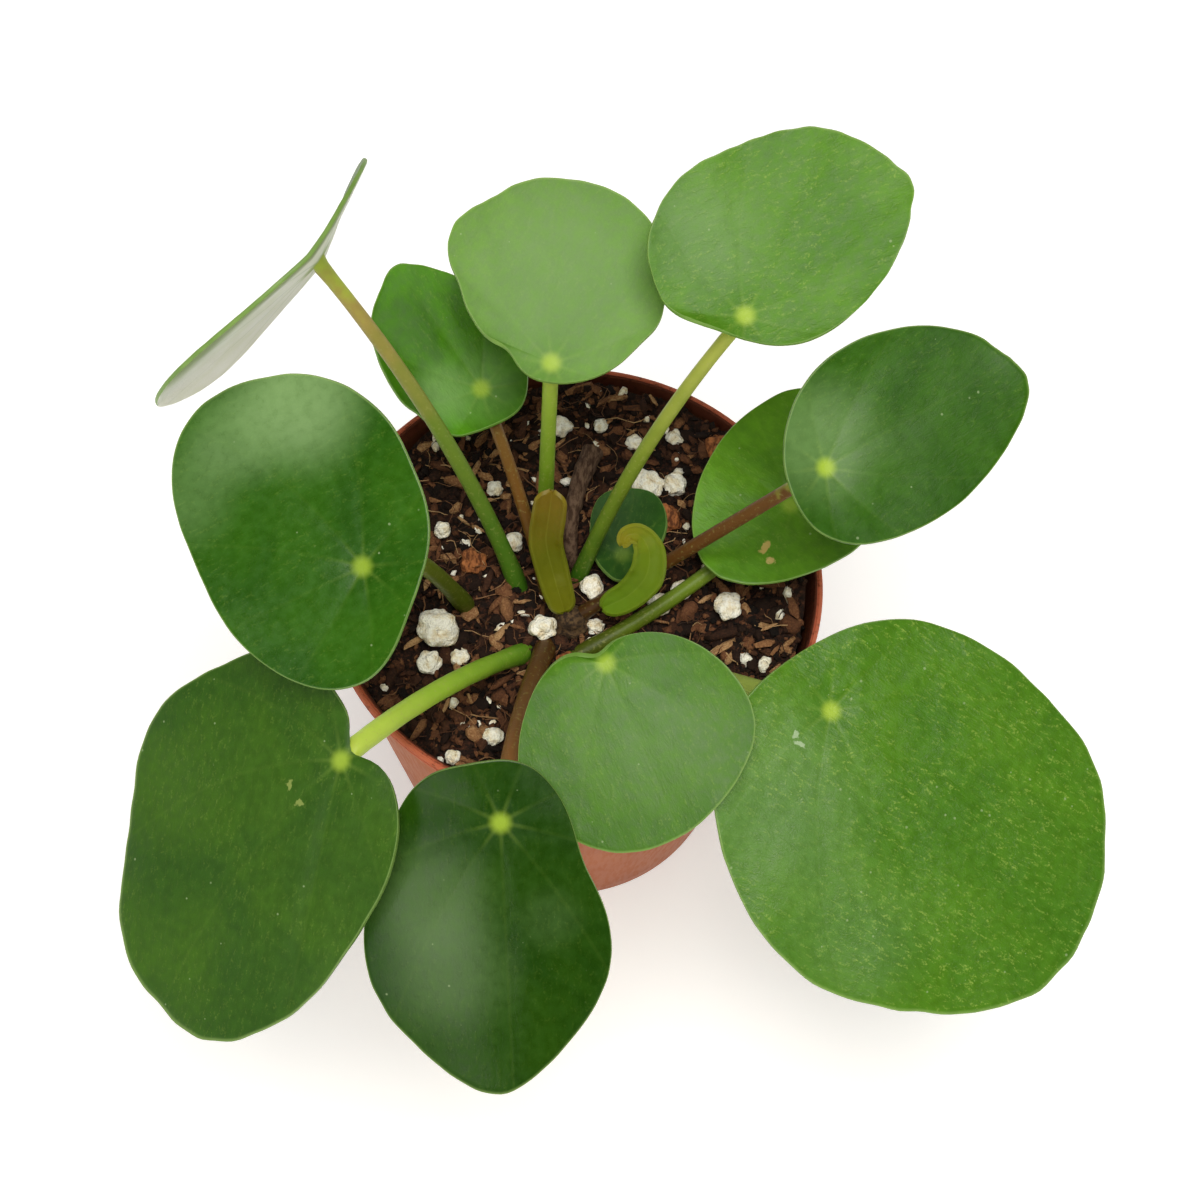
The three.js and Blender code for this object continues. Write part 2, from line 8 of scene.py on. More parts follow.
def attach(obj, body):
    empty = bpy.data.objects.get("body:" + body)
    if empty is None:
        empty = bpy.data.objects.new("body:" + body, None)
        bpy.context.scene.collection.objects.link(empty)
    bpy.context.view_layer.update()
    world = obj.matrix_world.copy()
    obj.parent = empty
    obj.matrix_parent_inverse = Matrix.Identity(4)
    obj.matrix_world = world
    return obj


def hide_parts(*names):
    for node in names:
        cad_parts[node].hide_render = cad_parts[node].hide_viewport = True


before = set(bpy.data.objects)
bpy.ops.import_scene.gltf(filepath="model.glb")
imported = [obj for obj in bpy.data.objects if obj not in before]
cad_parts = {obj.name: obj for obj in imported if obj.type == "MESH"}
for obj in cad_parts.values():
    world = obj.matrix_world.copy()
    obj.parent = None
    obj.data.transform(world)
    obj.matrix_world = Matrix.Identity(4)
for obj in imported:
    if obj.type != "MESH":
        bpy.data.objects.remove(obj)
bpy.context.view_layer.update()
mm = 0.001
fullTurn = 2 * math.pi
sheet = 100  # mm of a blade to one unit of its flat places


def clearSelection():
    if bpy.context.object and bpy.context.object.mode != "OBJECT":
        bpy.ops.object.mode_set(mode="OBJECT")
    bpy.ops.object.select_all(action="DESELECT")


def pickOnly(piece):
    clearSelection()
    piece.select_set(True)
    bpy.context.view_layer.objects.active = piece


def smoothFinish(piece, name, degrees, skin=None):  # given its material, named, shaded, left at the origin
    if skin:
        piece.data.materials.clear()
        piece.data.materials.append(skin)
    piece.name = name
    pickOnly(piece)
    bpy.ops.object.transform_apply(location=True, rotation=True, scale=True)
    bpy.ops.object.shade_smooth_by_angle(angle=math.radians(degrees))
    piece.select_set(False)


def applyModifier(piece, kind, **settings):
    pickOnly(piece)
    added = piece.modifiers.new(kind.title(), kind)
    for key, value in settings.items():
        setattr(added, key, value)
    bpy.ops.object.modifier_apply(modifier=added.name)
    piece.select_set(False)


def thicken(piece, form, **slots):  # a sheet turned to a plate with a rounded rim
    applyModifier(piece, "SOLIDIFY", thickness=form["thickness"] * mm, offset=0, **slots)
    applyModifier(piece, "BEVEL", width=form["rimRadius"] * mm, segments=2, limit_method="ANGLE",
                  angle_limit=math.radians(form["rimAngle"]))


def renewLayers(piece, *names):  # its own places for the patterns, in place of the primitive's
    while piece.data.uv_layers:
        piece.data.uv_layers.remove(piece.data.uv_layers[0])
    return [piece.data.uv_layers.new(name=name).data for name in names]


def seeded(seed):  # a repeatable random number from 0 to 1 for each call
    factor, step, size = 1664525, 1013904223, 2 ** 32
    state = seed
    while True:
        state = (state * factor + step) % size
        yield state / size


def between(pair, share):  # the value that lies so far from the first to the second
    return pair[0] + (pair[1] - pair[0]) * share


def linear(colour):  # an sRGB hex value as linear red, green and blue
    channels = [int(colour[i:i + 2], 16) / 255 for i in (1, 3, 5)]
    bent = [c / 12.92 if c <= 0.04045 else ((c + 0.055) / 1.055) ** 2.4 for c in channels]
    return (*bent, 1)


def feed(node, inputs):  # values, colours and links for a node's inputs
    for key, value in inputs.items():
        if isinstance(value, bpy.types.Node):  # a node stands for its first output in use
            value = next(output for output in value.outputs if output.enabled)
        if isinstance(value, bpy.types.NodeSocket):
            node.id_data.links.new(value, node.inputs[key])
        else:
            node.inputs[key].default_value = linear(value) if isinstance(value, str) else value


def put(tree, kind, inputs=(), stops=(), **settings):  # one shader node with its settings and links
    added = tree.nodes.new("ShaderNode" + kind)
    for key, value in settings.items():
        setattr(added, key, value)
    feed(added, inputs if isinstance(inputs, dict) else dict(enumerate(inputs)))
    if stops:
        ramp = added.color_ramp.elements
        while len(ramp) < len(stops):
            ramp.new(0.5)
        for element, (place, colour) in zip(ramp, stops):
            element.position = place
            element.color = linear(colour)
    return added


times = dict(operation="MULTIPLY")
timesPlus = dict(operation="MULTIPLY_ADD")
eased = dict(interpolation_type="SMOOTHSTEP")


def newSkin(name, roughness, ior, specular=0.5):
    made = bpy.data.materials.new(name)
    made.use_nodes = True
    feed(made.node_tree.nodes["Principled BSDF"],
         {"Roughness": roughness, "IOR": ior, "Specular IOR Level": specular})
    return made, made.node_tree


def strayed(tree, along, grain, far):  # a place along the piece, moved to and fro by a grain
    off = put(tree, "Math", (grain, 0.5), operation="SUBTRACT")
    return put(tree, "Math", (off, far, along), **timesPlus)


# A colour, the layers laid over it in turn, each by its own share, and a relief so many mm deep
def surfaced(made, colour, layers=(), relief=None, depth=0, strength=1.0):
    tree = made.node_tree
    for share, tint in layers:
        colour = put(tree, "Mix", {0: share, 6: colour, 7: tint}, data_type="RGBA")
    given = {"Base Color": colour}
    if relief is not None:
        given["Normal"] = put(tree, "Bump", {"Strength": strength, "Distance": depth * mm, "Height": relief})
    feed(tree.nodes["Principled BSDF"], given)
    return made


def objectMillimetres(tree, stretch=(1, 1, 1)):
    place = put(tree, "TexCoord").outputs["Object"]
    return put(tree, "Mapping", {"Vector": place, "Scale": tuple(1000 * s for s in stretch)})


def layerValue(tree, layer):  # the first coordinate of one of the piece's own layers
    return put(tree, "SeparateXYZ", (put(tree, "UVMap", uv_map=layer),))


# Camera
view = dict(elevation=61.9, distance=410, target=(5.4, -5.5, 88), roll=4.36, lens=61.65, sensor=36)


def placeCamera():
    lift, roll = math.radians(view["elevation"]), math.radians(view["roll"])
    back = Vector((0, -math.cos(lift), math.sin(lift)))
    right, up = Vector((1, 0, 0)), Vector((0, math.sin(lift), math.cos(lift)))
    across = right * math.cos(roll) + up * math.sin(roll)
    above = up * math.cos(roll) - right * math.sin(roll)
    bpy.ops.object.camera_add()
    camera = bpy.context.object
    camera.data.lens = view["lens"]
    camera.data.sensor_width = view["sensor"]
    camera.data.clip_start = 0.01
    place = Vector(view["target"]) * mm + back * view["distance"] * mm
    camera.matrix_world = Matrix.Translation(place) @ Matrix((across, above, back)).transposed().to_4x4()
    bpy.context.scene.camera = camera


clearSelection()
placeCamera()
print("camera in place")


# Leaves
# Millimetres and degrees. spot is where the stalk meets the blade. tilt, lean and heading turn the blade's
# plane: how steep, which way it falls, where its long axis points. back is how far it reaches behind the
# stalk, side how far its middle lies to the left. egg narrows one end, point and notch shape tip and base,
# lobes (count, depth, turn), bays (depth, middle, spread) and scallop waver the outline. cup, roll, droop,
# dimple, keel, twist and backTwist bend the blade, wave (count, size, turn) its edge. foot is where the
# stalk starts, bend moves its middle, stalk holds its radii.
# deep and bright are the greens of its patches, wax is the roughness and gloss the specular level. pebble
# is the relief between the veins and the painted highlight on its crests, quilt the one across them, crease
# the one along the middle. specks and glow say how much there is of flecks and of the pale spot over the
# stalk. under holds the tints below, margin and nearMargin are where their green band starts, from the edge
# or from one side.
# marks are dry blemishes (u, v, length, width, colour), sheenPatches are painted sheen, pale bluish patches
# standing in for highlights on the wax (u, v, radius, strength), stalkTones run from foot to top.
usual = dict(point=0, notch=0, bays=(), cup=0, roll=0, droop=0, dimple=0.5, keel=0, twist=0, backTwist=0,
             crease=0, gloss=0.38, glow=0.8, margin=0.95, nearMargin=None, under=("#b4c29c", "#c9d3b6"),
             marks=(), sheenPatches=(), stalkSlot="stalk_green")
leaves = [
    dict(usual, spot=(-50.3, 26.2, 150), tilt=66, lean=152, heading=230,
         length=57, width=50, back=19, side=1, egg=0.08, point=1, notch=0.5,
         lobes=((3, 0.03, 60), (5, 0.015, 20)),
         dimple=0.3, wave=(3, 0.3, 40), keel=4.6, twist=3, backTwist=-2.7,
         foot=(-12.1, 0.2, 84), bend=(3, 0, 1.5), stalk=(1.8, 1.3),
         slot="leaf_pale", deep="#4c6e22", bright="#5c8032", wax=0.45, pebble=0.05, quilt=0.1, specks=0.1,
         # its under tints are near white: a pale underside, made paler still as painted light coming through
         # the blade
         scallop=0.004, margin=0.9, nearMargin=(8, 19), under=("#f2f4e0", "#fbfcf0"),
         stalkSlot="stalk_olive", stalkTones=("#3c6a14", "#6c8426", "#a3904a")),
    dict(usual, spot=(-36.6, -27, 134), tilt=28, lean=245, heading=203,
         length=44.5, width=58, back=15, side=-11.5, egg=0.11, notch=0.8,
         lobes=((3, 0.08, 67), (5, 0.012, 25)),
         cup=1.5, roll=1.5, droop=1.5, dimple=0.6, wave=(4, 0.4, 0),
         foot=(-22.3, -5.8, 83.6), bend=(-2, 3, 6), stalk=(1.8, 1.6),
         slot="leaf_dark", deep="#245300", bright="#316203", wax=0.3, pebble=0.04, quilt=0.16, specks=0.4,
         scallop=0.004, glow=0.7, sheenPatches=((-1.9, -31.8, 17, 0.75), (12, -31, 12, 0.4), (24, -26, 13, 0.25)),
         stalkTones=("#4a580e", "#6c7a1c", "#7c8c34")),
    dict(usual, spot=(-20.7, 24, 116), tilt=25, lean=285, heading=133,
         length=36, width=27, back=7.5, side=1, egg=0.19, point=1.5, notch=0.5,
         lobes=((3, 0.035, 69), (5, 0.02, 50)), bays=((1.6, 325, 30), (1.2, 118, 10), (-1.5, 148, 12)),
         cup=1.5, droop=1, wave=(4, 0.4, 90),
         foot=(-5.9, -0.9, 84.4), bend=(0.5, 0, 1), stalk=(1.4, 1.2),
         slot="leaf_fresh", deep="#386a00", bright="#4c8804", wax=0.32, gloss=0.1, pebble=0.06, quilt=0.2,
         specks=0.2, scallop=0.006, sheenPatches=((0, -1, 12, 0.25), (3.4, 7.4, 8, 0.35)),
         stalkSlot="stalk_brown", stalkTones=("#4c3512", "#754e1e", "#7c5a26")),
    dict(usual, spot=(-6.8, 16.1, 138), tilt=26, lean=275, heading=58,
         length=36.5, width=41, back=5, side=8, egg=-0.13, point=0.7, notch=2,
         lobes=((3, 0.065, 99), (5, 0.01, 38)), bays=((4, 70, 24), (2, 128, 12), (-2.4, 283, 14)),
         cup=0.8, roll=0.8, wave=(3, 0.3, 0),
         foot=(-6.8, 6.4, 84), bend=(0, -0.5, 0.5), stalk=(1.6, 1.4),
         slot="leaf_light", deep="#54821c", bright="#629028", wax=0.5, pebble=0.05, quilt=0.12, specks=0.5,
         scallop=0.008, glow=0.9, marks=((11.9, -13, 2.2, 1.4, "#d2bfae"),), sheenPatches=((13.5, 7, 26, 0.3),),
         stalkTones=("#5c8218", "#6c8e1c", "#8fa832")),
    dict(usual, spot=(27.5, 21.2, 150), tilt=27, lean=275, heading=24,
         length=47.5, width=37, back=13, side=11.5, egg=0.05, point=3, notch=1,
         lobes=((3, 0.04, 46), (5, 0.027, 45)), bays=((1.4, 45, 14), (0.9, 108, 16), (-1, 265, 40)),
         cup=1, roll=0.5, dimple=0.6, wave=(7, 0.5, 30),
         foot=(0.8, 2, 84), bend=(-2, 1.5, 0), stalk=(1.6, 1.3),
         slot="leaf_light", deep="#46780c", bright="#568816", wax=0.48, pebble=0.14, quilt=0.16, specks=0.6,
         scallop=0.014, glow=1, sheenPatches=((-2.7, 15.5, 15, 0.3),),
         stalkSlot="stalk_olive", stalkTones=("#35600e", "#7a8c24", "#a8b048")),
    dict(usual, spot=(44.8, 2.5, 131), tilt=27, lean=290, heading=35,
         length=50, width=35.5, back=7, side=-1, egg=0.39, notch=0.4,
         lobes=((3, 0.08, 69), (5, 0.01, 55)),
         cup=1.5, roll=1, droop=1, dimple=0.8, wave=(3, 0.5, 120),
         foot=(2.6, -6.6, 84.6), bend=(0.5, 3.2, -5), stalk=(1.4, 1.3),
         slot="leaf_mid", deep="#285402", bright="#38660a", wax=0.34, gloss=0.2, pebble=0.04, quilt=0.14,
         specks=0.3, scallop=0.006, glow=1, sheenPatches=((0.7, 5.4, 16, 0.4), (14.8, -2.5, 10, 0.06)),
         stalkSlot="stalk_brown", stalkTones=("#3c2408", "#5e3a10", "#6c461a")),
    dict(usual, spot=(41.9, 14.5, 97), tilt=6, lean=285, heading=148,
         length=35.2, width=46.4, back=16.9, side=-2.8, egg=-0.3, point=0.5,
         lobes=((3, 0.045, 102), (5, 0.01, 27)),
         cup=0.5, roll=0.5, wave=(4, 0.4, 60),
         foot=(4.7, -13.6, 83), bend=(1, -1, -0.5), stalk=(1.7, 1.4),
         slot="leaf_fresh", deep="#4a7c02", bright="#598d08", wax=0.42, pebble=0.08, quilt=0.14, specks=0.5,
         scallop=0.008, glow=0.6,
         marks=((-1.3, 10.9, 1.2, 3.6, "#c2a45e"), (-3.8, 12.7, 1.7, 1.5, "#c8ae6c")),
         stalkTones=("#46500c", "#68801c", "#6e8a24")),
    dict(usual, spot=(49.6, -35.1, 107), tilt=24, lean=300, heading=341,
         length=79.9, width=71, back=16, side=-9.7, egg=0,
         lobes=((3, 0.01, 101), (5, 0.017, 44)),
         roll=1.5, droop=2, dimple=0.8, wave=(9, 0.4, 0),
         foot=(10.8, -16, 83), bend=(0, 0, 2), stalk=(2.0, 1.7),
         slot="leaf_fresh", deep="#407202", bright="#4d7e05", wax=0.4, pebble=0.2, quilt=0.14, specks=1,
         crease=0.25, scallop=0.01, glow=1, sheenPatches=((-3, -20, 26, 0.26), (21.5, -34, 20, 0.14)),
         marks=((-2.5, -8.5, 2.4, 0.9, "#a8bf94"), (-4.2, -7.3, 1.2, 2, "#a8bf94")),
         stalkSlot="stalk_olive", stalkTones=("#6a7434", "#7c8a3c", "#9aae4c")),
    dict(usual, spot=(7.3, -33.3, 116), tilt=24, lean=262, heading=300,
         length=38, width=43.5, back=5.5, side=-1, egg=-0.29, notch=2,
         lobes=((3, 0.07, 116), (5, 0.017, 62)),
         cup=0.8, roll=0.8, droop=0.5, wave=(4, 0.4, 30),
         foot=(5.6, -20.4, 83), bend=(0, 1, 0), stalk=(1.6, 1.4),
         slot="leaf_mid", deep="#3c6c00", bright="#4a7a04", wax=0.46, pebble=0.07, quilt=0.16, specks=0.4,
         scallop=0.005, sheenPatches=((13.6, 0.8, 19, 0.15),),
         stalkTones=("#4c7c2c", "#63863a", "#7c9c44")),
    dict(usual, spot=(-9.2, -62.9, 109), tilt=36, lean=264, heading=278,
         length=59, width=43.5, back=12.5, side=-3.5, egg=-0.19, point=2.5,
         lobes=((3, 0.024, 14), (5, 0.028, 2)), bays=((-2.6, 325, 28), (1.9, 110, 15)),
         roll=3, droop=2, dimple=0.4, wave=(4, 0.6, 45),
         foot=(-4.8, -15.2, 83), bend=(-1, 0, 2.5), stalk=(2, 1.9),
         slot="leaf_dark", deep="#1a3e00", bright="#264a02", wax=0.3, gloss=0.2, pebble=0.02, quilt=0.12,
         specks=0.4, crease=0.12, scallop=0.006,
         sheenPatches=((14, -13, 16, 0.2), (27, -11, 16, 0.22), (18, 8, 8, 0.08)),
         stalkSlot="stalk_brown", stalkTones=("#4a3010", "#6e4a22", "#8a5a2a")),
    dict(usual, spot=(-38.8, -54.6, 112), tilt=33, lean=218, heading=261,
         length=69, width=58, back=17, side=-16.2, egg=-0.03, point=3.5,
         lobes=((3, 0.038, 100), (5, 0.036, 31)), bays=((7.5, 132, 8), (1.8, 215, 35)),
         roll=2, droop=2, wave=(5, 0.5, 0),
         foot=(-9.9, -16.6, 83), bend=(0, 0.5, 4), stalk=(1.9, 2),
         slot="leaf_dark", deep="#2a5200", bright="#386000", wax=0.52, pebble=0.05, quilt=0.14, specks=0.5,
         crease=0.3, scallop=0.009,
         marks=((6.4, -8.9, 2.2, 1.1, "#8a9a4c"), (9.1, -6, 1.4, 1.8, "#8a9a4c")),
         stalkTones=("#5c8a1c", "#96ba34", "#b9d050")),
    dict(usual, spot=(9.3, 5.8, 86.8), tilt=8, lean=200, heading=84,
         length=21.5, width=15.5, back=6, side=0, egg=-0.19,
         lobes=((3, 0.02, 56), (5, 0.02, 49)),
         cup=1, droop=0.5, dimple=0.3, wave=(3, 0.3, 0),
         foot=(8.6, 2.6, 83), bend=(0.1, -0.3, 0), stalk=(0.9, 0.8),
         slot="leaf_dark", deep="#1c4404", bright="#2a560a", wax=0.44, pebble=0.04, quilt=0.1, specks=0,
         scallop=0.004, glow=0.2, stalkTones=("#3a5416", "#4a641c", "#587424")),
]
blade = dict(sectors=144, rings=34, thickness=0.85, rimRadius=0.3, rimAngle=50, tipSpread=0.35,
             notchSpread=0.22, dimpleSpread=4, veins=9, veinBow=0.008, keelCurve=1.2, quiltReach=14,
             pebbleScale=0.34, pebbleReach=6, swellScale=0.07, creaseWidth=2.2, creaseReach=8, seedStep=3.7,
             smooth=40)


def bump(angle, middle, spread):
    off = math.atan2(math.sin(angle - middle), math.cos(angle - middle))
    return math.exp(-(off / spread) ** 2)


def outlinePoint(leaf, angle):
    reach = 1 + sum(depth * math.cos(count * (angle - math.radians(turn)))
                    for count, depth, turn in leaf["lobes"])
    for depth, middle, spread in leaf["bays"]:
        reach -= depth / leaf["width"] * bump(angle, math.radians(middle), math.radians(spread))
    half = leaf["length"] / 2
    tip = leaf["point"] * bump(angle, 0, blade["tipSpread"])
    base = leaf["notch"] * bump(angle, math.pi, blade["notchSpread"])
    u = half - leaf["back"] + half * math.cos(angle) * reach + (tip + base)
    v = leaf["side"] + leaf["width"] / 2 * math.sin(angle) * (1 - leaf["egg"] * math.cos(angle)) * reach
    return u, v


def bladeHeight(leaf, u, v, fraction, angle, seed):
    count, size, turn = leaf["wave"]
    behind = max(0, -u) / leaf["back"]
    ahead = max(0, u) / (leaf["length"] - leaf["back"])
    aside = (v - leaf["side"]) / (leaf["width"] / 2)
    height = leaf["cup"] * fraction ** 2 - leaf["roll"] * aside ** 2 - leaf["droop"] * ahead ** 2
    height -= leaf["dimple"] * math.exp(-(u * u + v * v) / blade["dimpleSpread"] ** 2)
    height += leaf["keel"] * (ahead + behind) ** blade["keelCurve"] + leaf["twist"] * ahead * aside
    height += leaf["backTwist"] * behind * aside
    height += size * fraction ** 3 * math.sin(count * angle + math.radians(turn))
    away, turn = math.hypot(u, v), math.atan2(v, u)
    swell = math.cos(blade["veins"] * (turn + blade["veinBow"] * away * math.sin(turn)))  # 1 over a vein
    sunk = leaf["quilt"] * min(1, away / blade["quiltReach"])
    height -= sunk * (1 - fraction ** 4) * (0.5 + 0.5 * swell) ** 2
    pebble = leaf["pebble"] * noise.noise(Vector((u, v, seed)) * blade["pebbleScale"])
    height += pebble * min(1, away / blade["pebbleReach"])
    height += 2 * leaf["quilt"] * noise.noise(Vector((u, v, seed + 9)) * blade["swellScale"])
    crease = leaf["crease"] * math.exp(-(v / blade["creaseWidth"]) ** 2)
    height -= crease * min(1, max(0, u) / blade["creaseReach"]) * (1 - fraction ** 3)
    return height


def bladeAxes(leaf):
    tilt, lean, heading = (math.radians(leaf[key]) for key in ("tilt", "lean", "heading"))
    normal = Vector((math.sin(tilt) * math.cos(lean), math.sin(tilt) * math.sin(lean), math.cos(tilt)))
    drop = (normal.x * math.cos(heading) + normal.y * math.sin(heading)) / normal.z
    along = Vector((math.cos(heading), math.sin(heading), -drop)).normalized()
    return normal, along, normal.cross(along)


def bladePattern():  # a flat disc of rings, modelled once and copied for every blade
    clearSelection()
    bpy.ops.mesh.primitive_circle_add(vertices=blade["sectors"], radius=1, fill_type="NOTHING")
    disc = bpy.context.object
    bpy.ops.object.mode_set(mode="EDIT")
    bpy.ops.mesh.select_all(action="SELECT")
    reach = 1
    for k in range(1, blade["rings"]):
        inner = 1 - k / blade["rings"]
        bpy.ops.mesh.extrude_region_move()
        bpy.ops.transform.resize(value=(inner / reach, inner / reach, 1), center_override=(0, 0, 0))
        reach = inner
    bpy.ops.mesh.merge(type="CENTER")
    bpy.ops.mesh.select_all(action="SELECT")
    bpy.ops.mesh.normals_make_consistent(inside=False)
    bpy.ops.object.mode_set(mode="OBJECT")
    if disc.data.polygons[0].normal.z < 0:
        disc.data.flip_normals()
    return disc


def buildBlade(pattern, i):
    leaf, seed = leaves[i], blade["seedStep"] * i
    made = pattern.copy()
    made.data = pattern.data.copy()
    bpy.context.collection.objects.link(made)
    normal, along, left = bladeAxes(leaf)
    spot = Vector(leaf["spot"])
    places = []
    for vertex in made.data.vertices:
        fraction = min(1, vertex.co.xy.length)
        angle = math.atan2(vertex.co.y, vertex.co.x)
        fringe = noise.noise(Vector((6 * math.cos(angle), 6 * math.sin(angle), seed)))
        edge = fraction * (1 + leaf["scallop"] * fringe * fraction ** 6)
        u, v = (part * edge for part in outlinePoint(leaf, angle))
        height = bladeHeight(leaf, u, v, fraction, angle, seed)
        places.append((u / sheet + 0.5, v / sheet + 0.5, fraction))
        vertex.co = (spot + along * u + left * v + normal * height) * mm
    flat, reach = renewLayers(made, "leafPlace", "leafReach")
    for loop in made.data.loops:
        u, v, fraction = places[loop.vertex_index]
        flat[loop.index].uv = (u, v)
        reach[loop.index].uv = (fraction, 0.5)
    for skin in (leafTopSkin(i, leaf), leafUnderSkin(i, leaf), leafRimSkin(i, leaf)):
        made.data.materials.append(skin)
    thicken(made, blade, material_offset=1, material_offset_rim=2)
    smoothFinish(made, f"leafBlade{i + 1:02d}", blade["smooth"])
    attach(made, "root")
    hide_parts(f"leaf_blade_{i + 1:02d}")


# Scales are per mm, widths, reaches and depths in mm. A pair is where a step starts and ends.
leafGrain = dict(
    patch=0.05, mottle=0.5, ridge=(0.5, 1.25, 1), grain=2.4, scuff=1.3, scuffMask=0.06, speck=0.5,
    underPatch=0.09, rimPatch=0.25, veinSink=-0.12, veinWidth=(0.1, 0.6), veinShow=0.14, rayReach=(2, 7),
    spotReach=(0.6, 2.7), edge=(0.984, 0.999), topDepth=0.02, pebbleDepth=0.75, underDepth=0.2,
    ray="#a2c052", ridgeHighlight="#93b048", paintedSheen="#87a86c", fleck="#b4c795", rubbed="#a9bd84", spot="#a9c63c",
    edgeTint="#9dbb68", underVein="#8fa870", underSpot="#9ab04e", underEdge="#7e9444", rim="#86a652")


def leafPlaces(tree, i):  # mm from the stalk, the same shifted for each leaf, how far, and how near a vein
    place = put(tree, "UVMap", uv_map="leafPlace")
    flat = put(tree, "VectorMath", (place, (sheet, sheet, 0), (-sheet / 2, -sheet / 2, 0)), **timesPlus)
    moved = put(tree, "VectorMath", (flat, (31 * i, 17 * i, 0)), operation="ADD")
    away = put(tree, "VectorMath", (flat,), operation="LENGTH")
    parts = put(tree, "SeparateXYZ", (flat,))
    angle = put(tree, "Math", (parts.outputs[1], parts), operation="ARCTAN2")
    bow = put(tree, "Math", (put(tree, "Math", (away, blade["veinBow"]), **times),
                             put(tree, "Math", (angle,), operation="SINE")), **times)
    turned = put(tree, "Math", (angle, bow), operation="ADD")
    turned = put(tree, "Math", (turned, blade["veins"] / 2), **times)
    beside = put(tree, "Math", (put(tree, "Math", (turned,), operation="SINE"),), operation="ABSOLUTE")
    beside = put(tree, "Math", (beside, put(tree, "Math", (away, 2 / blade["veins"]), **times)), **times)
    return flat, moved, away, put(tree, "MapRange", (beside, *leafGrain["veinWidth"], 1, 0), **eased)


def leafRelief(tree, moved, vein):  # ridges between the veins, the skin's grain, and both with sunk veins
    grain = put(tree, "TexNoise",
                {"Vector": moved, "Scale": leafGrain["grain"], "Detail": 3, "Roughness": 0.6})
    drawn = put(tree, "VectorMath", (moved, leafGrain["ridge"]), **times)
    ridge = put(tree, "TexNoise",
                {"Vector": drawn, "Scale": 1, "Detail": 3, "Roughness": 0.6, "Distortion": 0.4})
    height = put(tree, "Math", (grain, 0.35, ridge), **timesPlus)
    return ridge, grain, put(tree, "Math", (vein, leafGrain["veinSink"], height), **timesPlus)


def leafMark(tree, u, v, length, width):  # a dry blemish: a ragged oval at its place on the blade
    place = put(tree, "UVMap", uv_map="leafPlace")
    ragged = put(tree, "TexNoise", {"Vector": place, "Scale": 90, "Detail": 3}).outputs["Color"]
    bent = put(tree, "VectorMath", (ragged, (0.02, 0.02, 0), place), **timesPlus)
    off = put(tree, "VectorMath", (bent, (u / sheet + 0.51, v / sheet + 0.51, 0)), operation="SUBTRACT")
    oval = put(tree, "VectorMath", (off, (2 * sheet / length, 2 * sheet / width, 0)), **times)
    far = put(tree, "VectorMath", (oval,), operation="LENGTH")
    return put(tree, "MapRange", (far, 0.7, 1.15, 0.85, 0), **eased)


